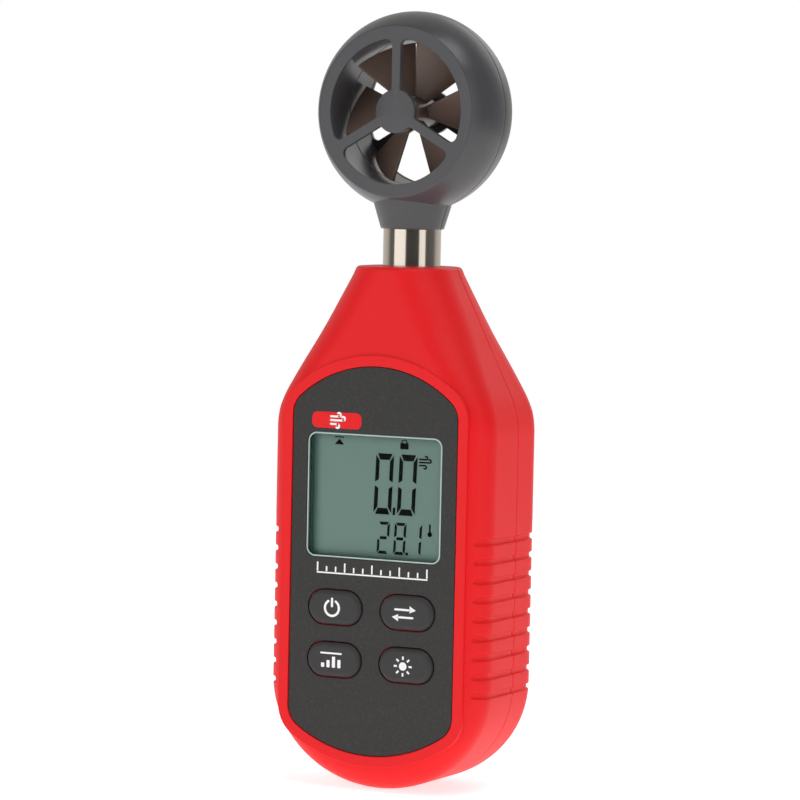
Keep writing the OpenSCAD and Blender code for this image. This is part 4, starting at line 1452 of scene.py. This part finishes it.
SOFTBOXES = {
    "key_softbox": {"azimuth": -23, "elevation": 14, "distance": 0.9, "width": 0.84, "height": 0.9,
                    "power": 2.8},
    "side_softbox": {"azimuth": 68.5, "elevation": 10, "distance": 0.9, "width": 0.42, "height": 0.9,
                     "power": 1.3},
    "top_softbox": {"azimuth": 60, "elevation": 66, "distance": 0.8, "width": 0.6, "height": 0.4,
                    "power": 2.4},
    "back_softbox": {"azimuth": 172, "elevation": 30, "distance": 1.0, "width": 0.7, "height": 0.5,
                     "power": 0.9},
}


def add_softbox(name, azimuth, elevation, distance, width, height, power):
    """A soft rectangular light that faces the middle of the meter."""
    a, e = radians(azimuth), radians(elevation)
    towards = Vector((sin(a) * cos(e), -cos(a) * cos(e), sin(e)))
    bare()
    bpy.ops.object.light_add(type="AREA", location=spot(0, 0, 85) + towards * distance)
    lamp = bpy.context.object
    lamp.name = name
    lamp.rotation_euler = towards.to_track_quat("Z", "Y").to_euler()
    lamp.data.shape = "RECTANGLE"
    lamp.data.size, lamp.data.size_y = width, height
    lamp.data.energy = power


def light_room():
    """A pale room: white where it is seen, brighter behind the meter than in front of it."""
    world = bpy.data.worlds.new("Pale room")
    bpy.context.scene.world = world
    world.use_nodes = True
    tree = world.node_tree
    tree.nodes.clear()
    seen = tree.nodes.new("ShaderNodeBackground")
    seen.inputs["Color"].default_value = (1, 1, 1, 1)
    lit = tree.nodes.new("ShaderNodeBackground")
    ahead = tree.nodes.new("ShaderNodeVectorMath")
    ahead.operation = "DOT_PRODUCT"
    ahead.inputs[1].default_value = viewing_axes()[2]
    tree.links.new(tree.nodes.new("ShaderNodeTexCoord").outputs["Generated"], ahead.inputs[0])
    ramp = tree.nodes.new("ShaderNodeValToRGB")
    ramp.color_ramp.elements[0].position = 0.0
    ramp.color_ramp.elements[0].color = (0.7, 0.67, 0.62, 1)
    ramp.color_ramp.elements[1].position = 0.97
    ramp.color_ramp.elements[1].color = (0.05, 0.05, 0.05, 1)
    for position, level in ((0.3, 0.5), (0.45, 0.14), (0.8, 0.08)):
        ramp.color_ramp.elements.new(position).color = (level, level, level, 1)
    tree.links.new(maths(tree, "MULTIPLY", maths(tree, "ADD", ahead.outputs["Value"], 1), 0.5),
                   ramp.inputs["Fac"])
    tree.links.new(ramp.outputs["Color"], lit.inputs["Color"])
    choice = tree.nodes.new("ShaderNodeMixShader")
    tree.links.new(tree.nodes.new("ShaderNodeLightPath").outputs["Is Camera Ray"], choice.inputs["Fac"])
    tree.links.new(lit.outputs[0], choice.inputs[1])
    tree.links.new(seen.outputs[0], choice.inputs[2])
    tree.links.new(choice.outputs[0], tree.nodes.new("ShaderNodeOutputWorld").inputs["Surface"])


class Stage(bpy.types.Operator):
    """Sets the camera, the pale floor, the soft studio light and the finishes"""
    bl_idname = "meter.stage"
    bl_label = "Stage"

    def execute(self, context):
        add_camera()
        context.scene.view_settings.view_transform = "Standard"
        bare()
        bpy.ops.mesh.primitive_circle_add(vertices=96, radius=0.6, fill_type="NGON",
                                          location=spot(0, 0, -0.05))
        bpy.ops.object.transform_apply(location=True, rotation=True, scale=True)
        floor = bpy.context.object
        floor.name = "studio_floor"
        make_finishes()
        pale = finish("floor_paper", "floor", 0.8, drift=0.01, relief=0.01, dust=0, grain=400,
                      Emission_Color=(1, 1, 1, 1), Emission_Strength=0.7)
        floor.data.materials.append(pale)
        light_room()
        for name, placing in SOFTBOXES.items():
            add_softbox(name, **placing)
        return {"FINISHED"}


# ---------------------------------------------------------------- add-on
OPERATORS = (Stage, FrontCase, RearCase, BatteryCover, Screws, FrontPanel, Display, Keys, NeckTube,
             VaneHead, VaneWheel, BatteryCells, InnerParts)
SETTINGS = {"meter_case": CaseSizes, "meter_head": HeadSizes, "meter_colours": MeterColours}


class MeterPanel(bpy.types.Panel):
    """Lists the steps that build the weather meter, and its sizes and colours"""
    bl_idname = "VIEW3D_PT_weather_meter"
    bl_label = "Weather meter"
    bl_space_type = "VIEW_3D"
    bl_region_type = "UI"
    bl_category = "Weather meter"

    def draw(self, context):
        for step in OPERATORS:
            self.layout.operator(step.bl_idname)
        for name in SETTINGS:
            group = getattr(context.scene, name)
            box = self.layout.box()
            for field in group.bl_rna.properties.keys():
                if field not in ("rna_type", "name"):
                    box.prop(group, field)


def register():
    """Adds the settings, the operators and the sidebar panel."""
    for name, kind in SETTINGS.items():
        bpy.utils.register_class(kind)
        setattr(bpy.types.Scene, name, PointerProperty(type=kind))
    for kind in (*OPERATORS, MeterPanel):
        bpy.utils.register_class(kind)


def unregister():
    """Takes away what register added."""
    for kind in reversed((*OPERATORS, MeterPanel)):
        bpy.utils.unregister_class(kind)
    for name, kind in SETTINGS.items():
        delattr(bpy.types.Scene, name)
        bpy.utils.unregister_class(kind)


def main():
    """Builds the meter step by step."""
    register()
    for step in OPERATORS:
        group, action = step.bl_idname.split(".")
        getattr(getattr(bpy.ops, group), action)()
    bare()


if __name__ == "__main__":
    main()
